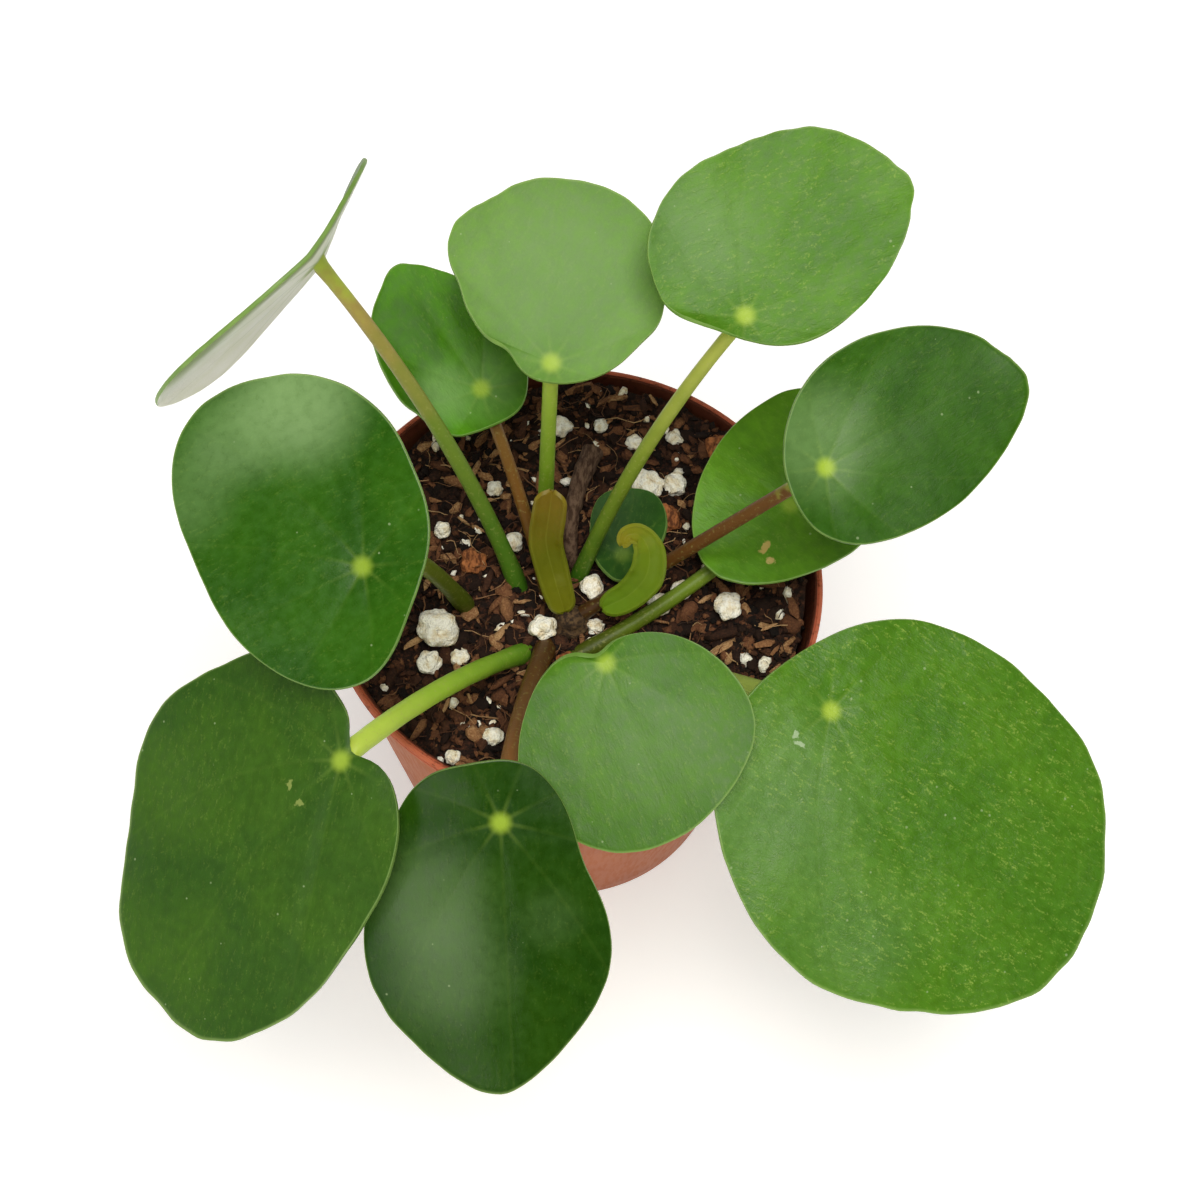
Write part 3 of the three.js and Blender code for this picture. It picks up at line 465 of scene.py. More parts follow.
def leafTopSkin(i, leaf):  # a waxy cuticle over uneven green tissue: broad soft sheen, broken by fine grain
    made, tree = newSkin(f"waxyCuticle{i + 1:02d}", leaf["wax"], 1.45, leaf["gloss"])
    flat, moved, away, vein = leafPlaces(tree, i + 1)
    ridge, grain, height = leafRelief(tree, moved, vein)
    patch = put(tree, "TexNoise", {"Vector": moved, "Scale": leafGrain["patch"], "Detail": 3,
                                   "Roughness": 0.55, "Distortion": 0.6})
    mottle = put(tree, "TexNoise", {"Vector": moved, "Scale": leafGrain["mottle"], "Detail": 4})
    patch = put(tree, "MapRange", (patch, 0.3, 0.7), **eased)
    green = put(tree, "Mix", {0: patch, 6: leaf["deep"], 7: leaf["bright"]}, data_type="RGBA")
    shade = put(tree, "MapRange", (mottle, 0.3, 0.7, 0.9, 1.1), **eased)
    dapple = put(tree, "CombineColor", (shade, shade, shade))
    green = put(tree, "Mix", {0: 1.0, 6: green, 7: dapple}, data_type="RGBA", blend_type="MULTIPLY")
    shown = leafGrain["veinShow"] * leaf["glow"]
    ray = put(tree, "MapRange", (away, *leafGrain["rayReach"], shown, 0.02), **eased)
    mask = put(tree, "TexNoise", {"Vector": moved, "Scale": leafGrain["scuffMask"], "Detail": 2})
    # painted highlight: a paler green on the crests of the relief, where its ridges catch the light
    ridgeHighlight = put(tree, "Math", (put(tree, "MapRange", (ridge, 0.5, 0.66), **eased),
                               put(tree, "MapRange", (grain, 0.42, 0.62), **eased)), **times)
    ridgeHighlight = put(tree, "Math", (ridgeHighlight, put(tree, "MapRange", (mask, 0.35, 0.6, 0.35, 1), **eased)), **times)
    ridgeHighlight = put(tree, "Math", (ridgeHighlight, min(0.7, 3.5 * leaf["pebble"])), **times)
    layers = [(put(tree, "Math", (vein, ray), **times), leafGrain["ray"]), (ridgeHighlight, leafGrain["ridgeHighlight"])]
    for u, v, radius, strength in leaf["sheenPatches"]:  # painted sheen: pale bluish patches laid where the waxy top catches the light
        far = put(tree, "VectorMath", (flat, (u, v, 0)), operation="DISTANCE")
        paintedSheen = put(tree, "Math", (put(tree, "MapRange", (far, radius * 0.2, radius, strength, 0), **eased),
                                  put(tree, "MapRange", (mottle, 0.35, 0.6, 0.88, 1), **eased)), **times)
        layers.append((paintedSheen, leafGrain["paintedSheen"]))
    speck = put(tree, "TexVoronoi", {"Vector": moved, "Scale": leafGrain["speck"]}, feature="F1")
    few = put(tree, "SeparateColor", (speck.outputs["Color"],))
    chosen = put(tree, "Math", (few, leaf["specks"] * 0.3), operation="LESS_THAN")
    wide = put(tree, "Math", (few.outputs[1], 0.1, 0.04), **timesPlus)
    dot = put(tree, "Math", (speck, wide), operation="DIVIDE")
    dot = put(tree, "MapRange", (dot, 0.6, 1.3, 0.4, 0), **eased)
    scuff = put(tree, "TexNoise",
                {"Vector": moved, "Scale": leafGrain["scuff"], "Detail": 6, "Roughness": 0.75})
    rubbed = put(tree, "Math", (put(tree, "MapRange", (scuff, 0.6, 0.7, 0, leaf["specks"]), **eased),
                                put(tree, "MapRange", (mask, 0.5, 0.66, 0, 0.5), **eased)), **times)
    glow = put(tree, "MapRange", (away, *leafGrain["spotReach"], 0.9 * leaf["glow"], 0), **eased)
    dot = put(tree, "Math", (dot, chosen), **times)
    layers += [(dot, leafGrain["fleck"]), (rubbed, leafGrain["rubbed"]), (glow, leafGrain["spot"])]
    layers += [(leafMark(tree, *mark[:4]), mark[4]) for mark in leaf["marks"]]
    edge = put(tree, "MapRange", (layerValue(tree, "leafReach"), *leafGrain["edge"], 0, 0.45), **eased)
    layers.append((edge, leafGrain["edgeTint"]))
    gloss = put(tree, "MapRange", (mottle, 0.3, 0.75, leaf["wax"] - 0.04, leaf["wax"] + 0.08), **eased)
    feed(tree.nodes["Principled BSDF"], {"Roughness": gloss})
    depth = leafGrain["topDepth"] + leafGrain["pebbleDepth"] * leaf["pebble"]
    return surfaced(made, green, layers, height, depth)


def leafUnderSkin(i, leaf):  # the underside: paler, without wax, its veins darker than what lies between
    made, tree = newSkin(f"leafUnderside{i + 1:02d}", 0.55, 1.4)
    flat, moved, away, vein = leafPlaces(tree, i + 1)
    height = leafRelief(tree, moved, vein)[2]
    patch = put(tree, "TexNoise", {"Vector": moved, "Scale": leafGrain["underPatch"], "Detail": 4})
    first, second = leaf["under"]
    veinFade = put(tree, "MapRange", (away, 3, 30, 0.4, 0.12), **eased)
    reach = layerValue(tree, "leafReach")
    if leaf["nearMargin"]:  # one side greener, right into the blade
        across = put(tree, "SeparateXYZ", (flat,)).outputs[1]
        band = put(tree, "Math", (put(tree, "MapRange", (reach, 0.62, 0.92, 0, 0.85), **eased),
                                  put(tree, "MapRange", (across, *leaf["nearMargin"]), **eased)), **times)
    else:
        band = put(tree, "MapRange", (reach, leaf["margin"], 0.99, 0, 0.8), **eased)
    layers = [(put(tree, "MapRange", (patch, 0.35, 0.65), **eased), second),
              (put(tree, "Math", (vein, veinFade), **times), leafGrain["underVein"]),
              (put(tree, "MapRange", (away, 1.5, 6, 0.9, 0), **eased), leafGrain["underSpot"]),
              (band, leafGrain["underEdge"])]
    return surfaced(made, first, layers, height, leafGrain["underDepth"])


def leafRimSkin(i, leaf):  # the blade's cut edge: thin pale tissue
    made, tree = newSkin(f"leafRim{i + 1:02d}", 0.45, 1.42)
    moved = leafPlaces(tree, i + 1)[1]
    patch = put(tree, "TexNoise", {"Vector": moved, "Scale": leafGrain["rimPatch"], "Detail": 2})
    return surfaced(made, leaf["bright"], [(patch, leafGrain["rim"])])


discPattern = bladePattern()
for leafIndex in range(len(leaves)):
    buildBlade(discPattern, leafIndex)
bpy.data.objects.remove(discPattern)
print("twelve blades grown")


# Stalks
stalkForm = dict(steps=26, resolution=5, buried=5, sunk=0.1, over=1.6, flare=0.25, flareShare=0.045,
                 footSwell=0.16, footPlace=0.07, footShare=0.06, uneven=0.03, unevenScale=0.3, cutReach=6,
                 smooth=60, blotch=0.22, stray=0.3, lenticel=1.4, lenticelTint="#a8a760", collar="#adbe42",
                 depth=0.1)


def tube(path, radii):  # a round line of changing thickness, turned to a mesh
    clearSelection()
    bpy.ops.curve.primitive_bezier_curve_add()
    line = bpy.context.object
    line.data.splines.clear()
    spline = line.data.splines.new("POLY")
    spline.points.add(len(path) - 1)
    for point, place, radius in zip(spline.points, path, radii):
        point.co = (*(place * mm), 1)
        point.radius = radius
    line.data.dimensions = "3D"
    line.data.bevel_depth = mm
    line.data.bevel_resolution = stalkForm["resolution"]
    line.data.use_fill_caps = True
    bpy.ops.object.convert(target="MESH")
    made = bpy.context.object
    nearby = kdtree.KDTree(len(path))
    for k, place in enumerate(path):
        nearby.insert(place * mm, k)
    nearby.balance()
    layer, = renewLayers(made, "stalkPlace")
    for loop in made.data.loops:
        nearest = nearby.find(made.data.vertices[loop.vertex_index].co)[1]
        layer[loop.index].uv = (nearest / (len(path) - 1), 0.5)
    return made


def stalkPath(leaf):
    foot, bend, spot = (Vector(leaf[key]) for key in ("foot", "bend", "spot"))
    middle = (foot + spot) / 2 + bend * 2
    top = spot + (spot - middle).normalized() * stalkForm["over"]
    root = foot - (middle - foot).normalized() * stalkForm["buried"]
    path = [root, (root + foot * 2) / 3]
    for k in range(stalkForm["steps"] + 1):
        t = k / stalkForm["steps"]
        path.append(foot * (1 - t) ** 2 + middle * 2 * t * (1 - t) + top * t ** 2)
    return path


def buildStalk(i):
    leaf, path, form = leaves[i], stalkPath(leaves[i]), stalkForm
    radii = []
    for k, place in enumerate(path):
        t = k / (len(path) - 1)
        radius = between(leaf["stalk"], t)
        radius *= 1 + form["flare"] * math.exp(-((1 - t) / form["flareShare"]) ** 2)
        radius *= 1 + form["footSwell"] * math.exp(-((t - form["footPlace"]) / form["footShare"]) ** 2)
        radii.append(radius * (1 + form["uneven"] * noise.noise(place * form["unevenScale"])))
    made = tube(path, radii)
    normal, spot = bladeAxes(leaf)[0], Vector(leaf["spot"])
    limit = bladeHeight(leaf, 0, 0, 0, 0, blade["seedStep"] * i) - form["sunk"]
    for vertex in made.data.vertices:  # cut off inside the blade, along it
        over = normal.dot(vertex.co / mm - spot) - limit
        if over > 0 and (vertex.co / mm - spot).length < form["cutReach"]:
            vertex.co -= normal * over * mm
    smoothFinish(made, f"leafStalk{i + 1:02d}", form["smooth"], stalkSkin(i, leaf))
    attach(made, "root")
    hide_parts(f"leaf_stalk_{i + 1:02d}")


def stalkSkin(i, leaf):  # a fleshy stalk's skin: smooth, a little glossy, blushed along its length
    made, tree = newSkin(f"fleshyStalk{i + 1:02d}", 0.44, 1.42, 0.35)
    foot, middle, top = leaf["stalkTones"]
    place = objectMillimetres(tree)
    blotch = put(tree, "TexNoise", {"Vector": place, "Scale": stalkForm["blotch"], "Detail": 3})
    moved = strayed(tree, layerValue(tree, "stalkPlace"), blotch, stalkForm["stray"])
    stops = ((0.05, foot), (0.5, middle), (0.86, top), (0.96, stalkForm["collar"]))
    ramp = put(tree, "ValToRGB", (moved,), stops)
    fine = put(tree, "TexNoise", {"Vector": place, "Scale": stalkForm["lenticel"], "Detail": 3})
    share = put(tree, "MapRange", (fine, 0.56, 0.72, 0, 0.3), **eased)
    return surfaced(made, ramp, [(share, stalkForm["lenticelTint"])], fine, stalkForm["depth"], 0.6)


for leafIndex in range(len(leaves)):
    buildStalk(leafIndex)
print("stalks in place")


# Young leaves, folded along their middle
youngLeaves = [
    dict(node="young_leaf_1", colours=("#6a6c0a", "#606408", "#74600c"),
         line=((-1.4, -8, 86.5), (-3.1, -5.3, 90.5), (-4.5, -2.6, 94), (-6, 0.3, 99.5),
               (-5.7, 3.2, 105.5), (-5.4, 5.7, 110)),
         halfWidths=(2.3, 2.8, 3, 3.1, 3.1, 2.9)),
    dict(node="young_leaf_2", colours=("#5e7c10", "#687e12", "#807a18"),
         line=((5.9, -8.9, 91), (10.8, -7.3, 94), (14, -4.8, 98), (14.2, -1.6, 102),
               (12.2, 0.5, 104.3), (9.8, 0.2, 104.8), (8.9, -1.6, 103.6)),
         halfWidths=(2.3, 2.8, 3.3, 2.9, 2, 1.5, 1.1)),
]
youngForm = dict(columns=16, rows=60, thickness=0.8, fold=0.9, rolledEdge=0.18, round=0.1,
                 facing=(0, -0.47, 0.88), look=0.01, midrib=0.25, midribWidth=0.5, uneven=0.12,
                 unevenScale=0.5, rimRadius=0.28, rimAngle=50, smooth=50, grain=0.8, stray=0.25, depth=0.15,
                 edgeTint="#a4a83c", foldTint="#a8b04c")


def reached(values, t):  # which of the values lies before t, from 0 to 1, and how far t is on to the next
    place = min(t * (len(values) - 1), len(values) - 1.0001)
    return int(place), place - int(place)


def smoothLine(points, t):  # a curve through all the points
    points = [Vector(p) for p in points]
    k, s = reached(points, t)
    before = points[k - 1] if k else points[0] * 2 - points[1]
    after = points[k + 2] if k + 2 < len(points) else points[-1] * 2 - points[-2]
    a, b = points[k], points[k + 1]
    return 0.5 * (2 * a + (b - before) * s + (2 * before - 5 * a + 4 * b - after) * s ** 2
                  + (3 * a - before - 3 * b + after) * s ** 3)


def buildYoungLeaf(young):
    form, line, widths = youngForm, young["line"], young["halfWidths"]
    facing, step = Vector(form["facing"]), form["look"]
    clearSelection()
    bpy.ops.mesh.primitive_grid_add(x_subdivisions=form["columns"], y_subdivisions=form["rows"], size=2)
    made = bpy.context.object
    made.data.uv_layers[0].name = "youngPlace"
    for vertex in made.data.vertices:
        offset, t = vertex.co.x, (vertex.co.y + 1) / 2
        centre = smoothLine(line, t)
        tangent = (smoothLine(line, min(1, t + step)) - smoothLine(line, max(0, t - step))).normalized()
        side = tangent.cross(facing).normalized()
        up = side.cross(tangent)
        k, share = reached(widths, t)
        half = between(widths[k:k + 2], share)
        half *= math.sqrt(1.02 - max(0, 1 - min(t, 1 - t) / form["round"]) ** 2)
        height = form["fold"] * offset ** 2 * half / 3
        midrib = form["midrib"] * math.exp(-(offset * half / form["midribWidth"]) ** 2)
        height += form["rolledEdge"] * offset ** 8 - midrib
        height += form["uneven"] * noise.noise(centre * form["unevenScale"] + side * offset)
        vertex.co = (centre + side * offset * half + up * height) * mm
    thicken(made, form)
    smoothFinish(made, "youngLeaf" + young["node"][-1], form["smooth"], youngSkin(young))
    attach(made, "root")
    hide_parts(young["node"])


def youngSkin(young):  # a leaf still unrolling: soft, moist, flushed to its tip, with a pale rolled edge
    made, tree = newSkin("unrolledLeaf" + young["node"][-1], 0.42, 1.42, 0.3)
    parts = layerValue(tree, "youngPlace")
    grain = put(tree, "TexNoise",
                {"Vector": objectMillimetres(tree), "Scale": youngForm["grain"], "Detail": 3})
    moved = strayed(tree, parts.outputs[1], grain, youngForm["stray"])
    foot, middle, tip = young["colours"]
    ramp = put(tree, "ValToRGB", (moved,), [(0.08, foot), (0.5, middle), (0.9, tip)])
    side = put(tree, "Math", (put(tree, "Math", (parts, 0.5), operation="SUBTRACT"),), operation="ABSOLUTE")
    layers = [(put(tree, "MapRange", (side, 0.4, 0.5, 0, 0.1), **eased), youngForm["edgeTint"]),
              (put(tree, "MapRange", (side, 0.01, 0.05, 0.08, 0), **eased), youngForm["foldTint"])]
    return surfaced(made, ramp, layers, grain, youngForm["depth"], 0.6)


for youngLeaf in youngLeaves:
    buildYoungLeaf(youngLeaf)
print("young leaves folded")


# Old stalk and crown
oldStalk = dict(line=((-0.6, 4.8, 82), (-1.7, 11.5, 85.5), (-0.8, 21.5, 86.6), (1.6, 30.5, 86)),
                radii=(1.1, 2.3), steps=40, knots=0.16, knotScale=0.45, furrow=0.22,
                furrowScale=Vector((1.6, 0.35, 1.6)), smooth=60)
crown = dict(x=-0.3, y=-8.2, radius=4.1, top=86.4, bottom=52, sides=40, scars=0.35, scarScale=0.8, shown=9,
             rings=16, smooth=60)
dryFinish = dict(furrow=1.1, depth=0.35)  # scale per mm, depth in mm


def buildOldStalk():
    path = [smoothLine(oldStalk["line"], k / oldStalk["steps"]) for k in range(oldStalk["steps"] + 1)]
    radii = []
    for k, place in enumerate(path):
        knot = 1 + oldStalk["knots"] * noise.noise(place * oldStalk["knotScale"])
        radii.append(between(oldStalk["radii"], k / oldStalk["steps"]) * knot)
    made = tube(path, radii)
    for vertex in made.data.vertices:
        furrow = noise.noise(vertex.co / mm * oldStalk["furrowScale"])
        vertex.co += vertex.normal * oldStalk["furrow"] * mm * furrow
    skin = drySkin("driedStalkHusk", "#3a2415", "#6a5240", 0.35)
    smoothFinish(made, "oldStalk", oldStalk["smooth"], skin)
    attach(made, "root")
    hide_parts("old_stalk")


def drySkin(name, dark, light, stretch):  # dead plant skin: corky, furrowed, without any gloss
    made, tree = newSkin(name, 0.82, 1.4)
    furrow = put(tree, "TexNoise", {"Vector": objectMillimetres(tree, (1, stretch, 1)),
                                    "Scale": dryFinish["furrow"], "Detail": 5, "Roughness": 0.65})
    share = put(tree, "MapRange", (furrow, 0.38, 0.62), **eased)
    return surfaced(made, dark, [(share, light)], furrow, dryFinish["depth"])


def ringStack(sides, profile, x=0, y=0):  # a turned solid, extruded ring by ring up its profile
    clearSelection()
    radius, height = profile[0]
    bpy.ops.mesh.primitive_circle_add(vertices=sides, radius=radius * mm, fill_type="NOTHING",
                                      location=(x * mm, y * mm, height * mm))
    made = bpy.context.object
    bpy.ops.object.mode_set(mode="EDIT")
    bpy.ops.mesh.select_all(action="SELECT")
    for nextRadius, nextHeight in profile[1:]:
        rise = (0, 0, (nextHeight - height) * mm)
        bpy.ops.mesh.extrude_region_move(TRANSFORM_OT_translate={"value": rise})
        bpy.ops.transform.resize(value=(nextRadius / radius, nextRadius / radius, 1),
                                 center_override=(x * mm, y * mm, nextHeight * mm))
        radius, height = nextRadius, nextHeight
    bpy.ops.mesh.select_all(action="SELECT")
    bpy.ops.mesh.remove_doubles(threshold=0.02 * mm)
    bpy.ops.mesh.fill_holes(sides=0)
    bpy.ops.mesh.normals_make_consistent(inside=False)
    bpy.ops.object.mode_set(mode="OBJECT")
    bpy.ops.object.transform_apply(location=True, rotation=True, scale=True)
    return made


def buildCrown():
    radius, top, bottom = crown["radius"], crown["top"], crown["bottom"]
    profile = [(0.05, bottom), (radius * 0.3, bottom + 0.2), (radius * 0.55, bottom + 10),
               (radius * 0.75, bottom + 20)]
    for k in range(crown["rings"] + 1):  # rings of leaf scars up the part that shows
        t = k / crown["rings"]
        width = (1 - 0.5 * max(0, t - 0.62) / 0.38) * radius
        profile.append((width * (0.95 + 0.07 * math.cos(t * 9 * math.pi)), top - crown["shown"] + 8.6 * t))
    profile += [(radius * 0.25, top - 0.1), (0.05, top)]
    made = ringStack(crown["sides"], profile, crown["x"], crown["y"])
    for vertex in made.data.vertices:
        vertex.co += vertex.normal * crown["scars"] * mm * noise.noise(vertex.co / mm * crown["scarScale"])
    smoothFinish(made, "mainStem", crown["smooth"], drySkin("corkyStem", "#2a1c10", "#5c452c", 1))
    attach(made, "root")
    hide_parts("main_stem")


buildOldStalk()
buildCrown()


# Pot
pot = dict(height=88, lipRadius=50, lipWidth=1.7, lipHeight=2.2, footRadius=36, wall=1.2, floor=1.6,
           discRadius=17, channel=2.4, footRing=3, footSlope=1, holes=8, holeRadius=3.2, holeSides=28,
           sides=160, groove=0.45, smooth=35)
# cloud, grain, scratch and dirt are pattern scales per mm: shades, the mould's grain, scuffs and soil
potFinish = dict(body=("#a25c3c", "#aa6441"), lip="#bc664c", grainTint="#c08a6c", scratchTint="#c89a84",
                 dirtTint="#3f2418", shade="#2a120c", cloud=0.045, grain=2.2, scratch=0.9, scratchDraw=0.12,
                 dirt=0.5, dirtReach=(78, 87), depth=0.05)


def wallRadius(height):  # the outside of the wall, from the foot to below the lip
    top, shoulder = pot["lipRadius"] - pot["lipWidth"] + pot["wall"] / 2, pot["height"] - pot["lipHeight"]
    return pot["footRadius"] + (top - pot["footRadius"]) * height / shoulder


def buildPot():
    high, lip, wall, disc = pot["height"], pot["lipRadius"], pot["wall"], pot["discRadius"]
    channel, foot, slope = pot["channel"], pot["footRadius"], pot["footSlope"]
    shoulder, inner, ringInner = high - pot["lipHeight"], lip - pot["lipWidth"], foot - pot["footRing"]
    floorTop = channel + pot["floor"]
    profile = [(0.05, 0), (disc, 0), (disc + slope, channel), (ringInner - slope, channel), (ringInner, 0.3),
               (ringInner + 0.4, 0), (foot - 0.5, 0), (foot, 0.6)]
    profile += [(wallRadius(h), h) for h in (6, 14, 24, 36, 48, 60, 70, 77)]
    profile += [(wallRadius(shoulder) - 0.1, shoulder - 0.4), (lip - 0.35, shoulder), (lip, shoulder + 0.45),
                (lip, shoulder + 0.95), (lip - pot["groove"], shoulder + 1.2), (lip, shoulder + 1.5),
                (lip - 0.06, high - 0.3), (lip - 0.35, high), (lip - 0.75, high - 0.02),
                (lip - 0.95, high - 0.3), (lip - 1.15, high - 0.04), (inner + 0.3, high),
                (inner + 0.05, high - 0.25), (inner, high - 0.7)]
    profile += [(wallRadius(h) - wall, h) for h in (shoulder - 1, 76, 60, 40, 20, floorTop + 1)]
    profile += [(wallRadius(floorTop) - wall - 1, floorTop), (0.05, floorTop)]
    made = ringStack(pot["sides"], profile)
    reach = (disc + ringInner) / 2
    for k in range(pot["holes"]):
        angle = (k + 0.5) / pot["holes"] * fullTurn
        x, y, z = reach * math.cos(angle), reach * math.sin(angle), channel + pot["floor"] / 2
        clearSelection()
        bpy.ops.mesh.primitive_cylinder_add(vertices=pot["holeSides"], radius=pot["holeRadius"] * mm,
                                            depth=3 * pot["floor"] * mm, location=(x * mm, y * mm, z * mm))
        cutter = bpy.context.object
        applyModifier(made, "BOOLEAN", object=cutter, operation="DIFFERENCE", solver="EXACT")
        bpy.data.objects.remove(cutter)
    smoothFinish(made, "pot.shell", pot["smooth"], potSkin())
    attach(made, "root")
    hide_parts("pot")


def potSkin():  # moulded polypropylene, terracotta all through: satin, scuffed, dirty near the soil, with painted shade inside the wall and under the foot
    made, tree = newSkin("polypropyleneTerracotta", 0.38, 1.4, 0.06)
    place = objectMillimetres(tree)
    parts = put(tree, "SeparateXYZ", (place,))
    high, foot = pot["height"], pot["footRadius"]
    cloud = put(tree, "TexNoise", {"Vector": place, "Scale": potFinish["cloud"], "Detail": 4})
    shoulder = high - pot["lipHeight"]
    onLip = put(tree, "MapRange", (parts.outputs[2], shoulder - 0.3, shoulder), **eased)
    grain = put(tree, "TexNoise", {"Vector": place, "Scale": potFinish["grain"], "Detail": 3})
    scratch = put(tree, "TexNoise", {"Vector": objectMillimetres(tree, (1, 1, potFinish["scratchDraw"])),
                                     "Scale": potFinish["scratch"], "Detail": 5})
    dirt = put(tree, "TexNoise",
               {"Vector": place, "Scale": potFinish["dirt"], "Detail": 5, "Roughness": 0.7})
    nearLip = put(tree, "MapRange", (parts.outputs[2], *potFinish["dirtReach"]), **eased)
    dirt = put(tree, "MapRange", (dirt, 0.52, 0.66, 0, 0.65), **eased)
    stain = put(tree, "Math", (dirt, nearLip), **times)
    across = put(tree, "CombineXYZ", (parts, parts.outputs[1]))
    across = put(tree, "VectorMath", (across,), operation="LENGTH")
    taper = (wallRadius(high) - wallRadius(0)) / high
    inward = put(tree, "Math", (parts.outputs[2], taper), **times)
    inward = put(tree, "Math", (across, inward), operation="SUBTRACT")
    first, second = potFinish["body"]
    layers = [(put(tree, "MapRange", (cloud, 0.35, 0.65), **eased), second), (onLip, potFinish["lip"]),
              (put(tree, "MapRange", (grain, 0.5, 0.75, 0, 0.12), **eased), potFinish["grainTint"]),
              (put(tree, "MapRange", (scratch, 0.62, 0.74, 0, 0.12), **eased), potFinish["scratchTint"]),
              (stain, potFinish["dirtTint"]),
              # painted shade: the inside of the wall and the pot's underside darkened to near black
              (put(tree, "MapRange", (inward, foot - 0.55, foot - 0.25, 0.85, 0), **eased),
               potFinish["shade"])]
    gloss = put(tree, "MapRange", (scratch, 0.4, 0.7, 0.42, 0.58), **eased)
    feed(tree.nodes["Principled BSDF"], {"Roughness": gloss})
    return surfaced(made, first, layers, grain, potFinish["depth"], 0.7)


buildPot()
print("pot turned")


# Soil
soil = dict(level=83.2, slope=0.035, relief=0.9, waves=7, lengths=(7, 23), heap=0.8, heapSpread=12, seed=11,
            bend=40, gap=0.3, sides=150, rings=52, roughness=0.75, roughScale=0.32, settled=0.7, bank=2.4,
            bankReach=(37, 9), smooth=80)
soilFinish = dict(crumb=0.9, depth=0.6,
                  stops=((0.3, "#0d0806"), (0.5, "#24150e"), (0.62, "#4a2a1b"), (0.75, "#6b4029")))


def soilWaves():
    draw = seeded(soil["seed"])
    made = []
    for k in range(soil["waves"]):
        angle = next(draw) * fullTurn
        length = between(soil["lengths"], next(draw))
        made.append((fullTurn * math.cos(angle) / length, fullTurn * math.sin(angle) / length,
                     next(draw) * fullTurn))
    return made


waves = soilWaves()


def soilHeight(x, y):
    height = soil["level"] + soil["slope"] * (x + y)
    swell = soil["relief"] / math.sqrt(soil["waves"])
    height += sum(swell * math.sin(kx * x + ky * y + turn) for kx, ky, turn in waves)
    beside = math.hypot(x - crown["x"], y - crown["y"])
    return height + soil["heap"] * math.exp(-(beside / soil["heapSpread"]) ** 2)


def bank(x, y):  # loose soil heaped against the pot's wall, most at the back
    away = math.hypot(x, y)
    start, width = soil["bankReach"]
    step = max(0, min(1, (away - start) / width))
    return soil["bank"] * step * step * (3 - 2 * step) * (0.45 + 0.55 * (0.3 * x + y) / (away + 1))


def buildSoil():
    floor, level = pot["channel"] + pot["floor"] + soil["gap"], soil["level"]
    edge = wallRadius(level - 2.7) - pot["wall"] - soil["gap"]
    profile = [(wallRadius(floor) - pot["wall"] - 1.5, floor),
               (wallRadius(soil["bend"]) - pot["wall"] - soil["gap"], soil["bend"])]
    profile += [(edge * (1 - k / soil["rings"]), level - 0.001 * k) for k in range(soil["rings"])]
    made = ringStack(soil["sides"], profile + [(0.2, level - 0.06)])
    for vertex in made.data.vertices:
        x, y, z = vertex.co / mm
        if z > level - 1:
            rough = noise.fractal(Vector((x, y, 3)) * soil["roughScale"], 0.7, 2.1, 4)
            vertex.co.z = (soilHeight(x, y) + bank(x, y) - soil["settled"] + soil["roughness"] * rough) * mm
    smoothFinish(made, "soilBody", soil["smooth"], soilSkin())
    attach(made, "root")
    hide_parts("soil")


def soilSkin():  # damp peat and coir dust, matt: dark brown peat, near black where its relief sinks as painted shade in the gaps
    made, tree = newSkin("peatAndCoir", 0.9, 1.35)
    crumb = put(tree, "TexNoise", {"Vector": objectMillimetres(tree), "Scale": soilFinish["crumb"],
                                   "Detail": 6, "Roughness": 0.7})
    # one noise sets colour and relief: the low places go near black, painted shade between the crumbs
    ramp = put(tree, "ValToRGB", (crumb,), soilFinish["stops"])
    return surfaced(made, ramp, relief=crumb, depth=soilFinish["depth"])


buildSoil()


# Crumbs, fibres and grains on the soil: places and sizes across in mm
perlitePlaces = (
    (-26.6, -12.3, 7.6), (-27.5, -19.5, 4.6), (-21.6, -17.8, 3.4), (-5.6, -10.9, 4.8), (3.6, -1.6, 4.4),
    (5, -8.8, 3), (13.4, 23.2, 6), (19, 24.4, 4.4), (17.4, -3.4, 4.6), (21.8, -0.2, 4),
    (-27.8, 10.5, 3.4), (-18.1, 20.9, 3.2), (-13.2, 9, 3.8), (-5.8, 37, 4.4), (2.8, 37.6, 2.8),
    (10, 33.4, 3.2), (18.5, 35.8, 3.2), (31.3, -3.9, 5), (-13.4, -34.6, 3.4), (-20.9, -39, 2.8),
)
barkPlaces = ((17.6, 16.4, 6.4), (-0.2, -17.4, 3.8), (-21, 3.6, 5), (28.4, 33, 6))
grainForm = dict(seedStep=7.1, lumpScale=1.5, pitScale=4.5, pitCurve=1.3, smooth=60)
perliteShape = dict(flat=0.74, sunk=0.42, seed=100, pits=0.16, lumps=0.36, swell=1.1)
barkShape = dict(flat=0.5, sunk=0.3, seed=300, pits=0.18, lumps=0.5, swell=1)
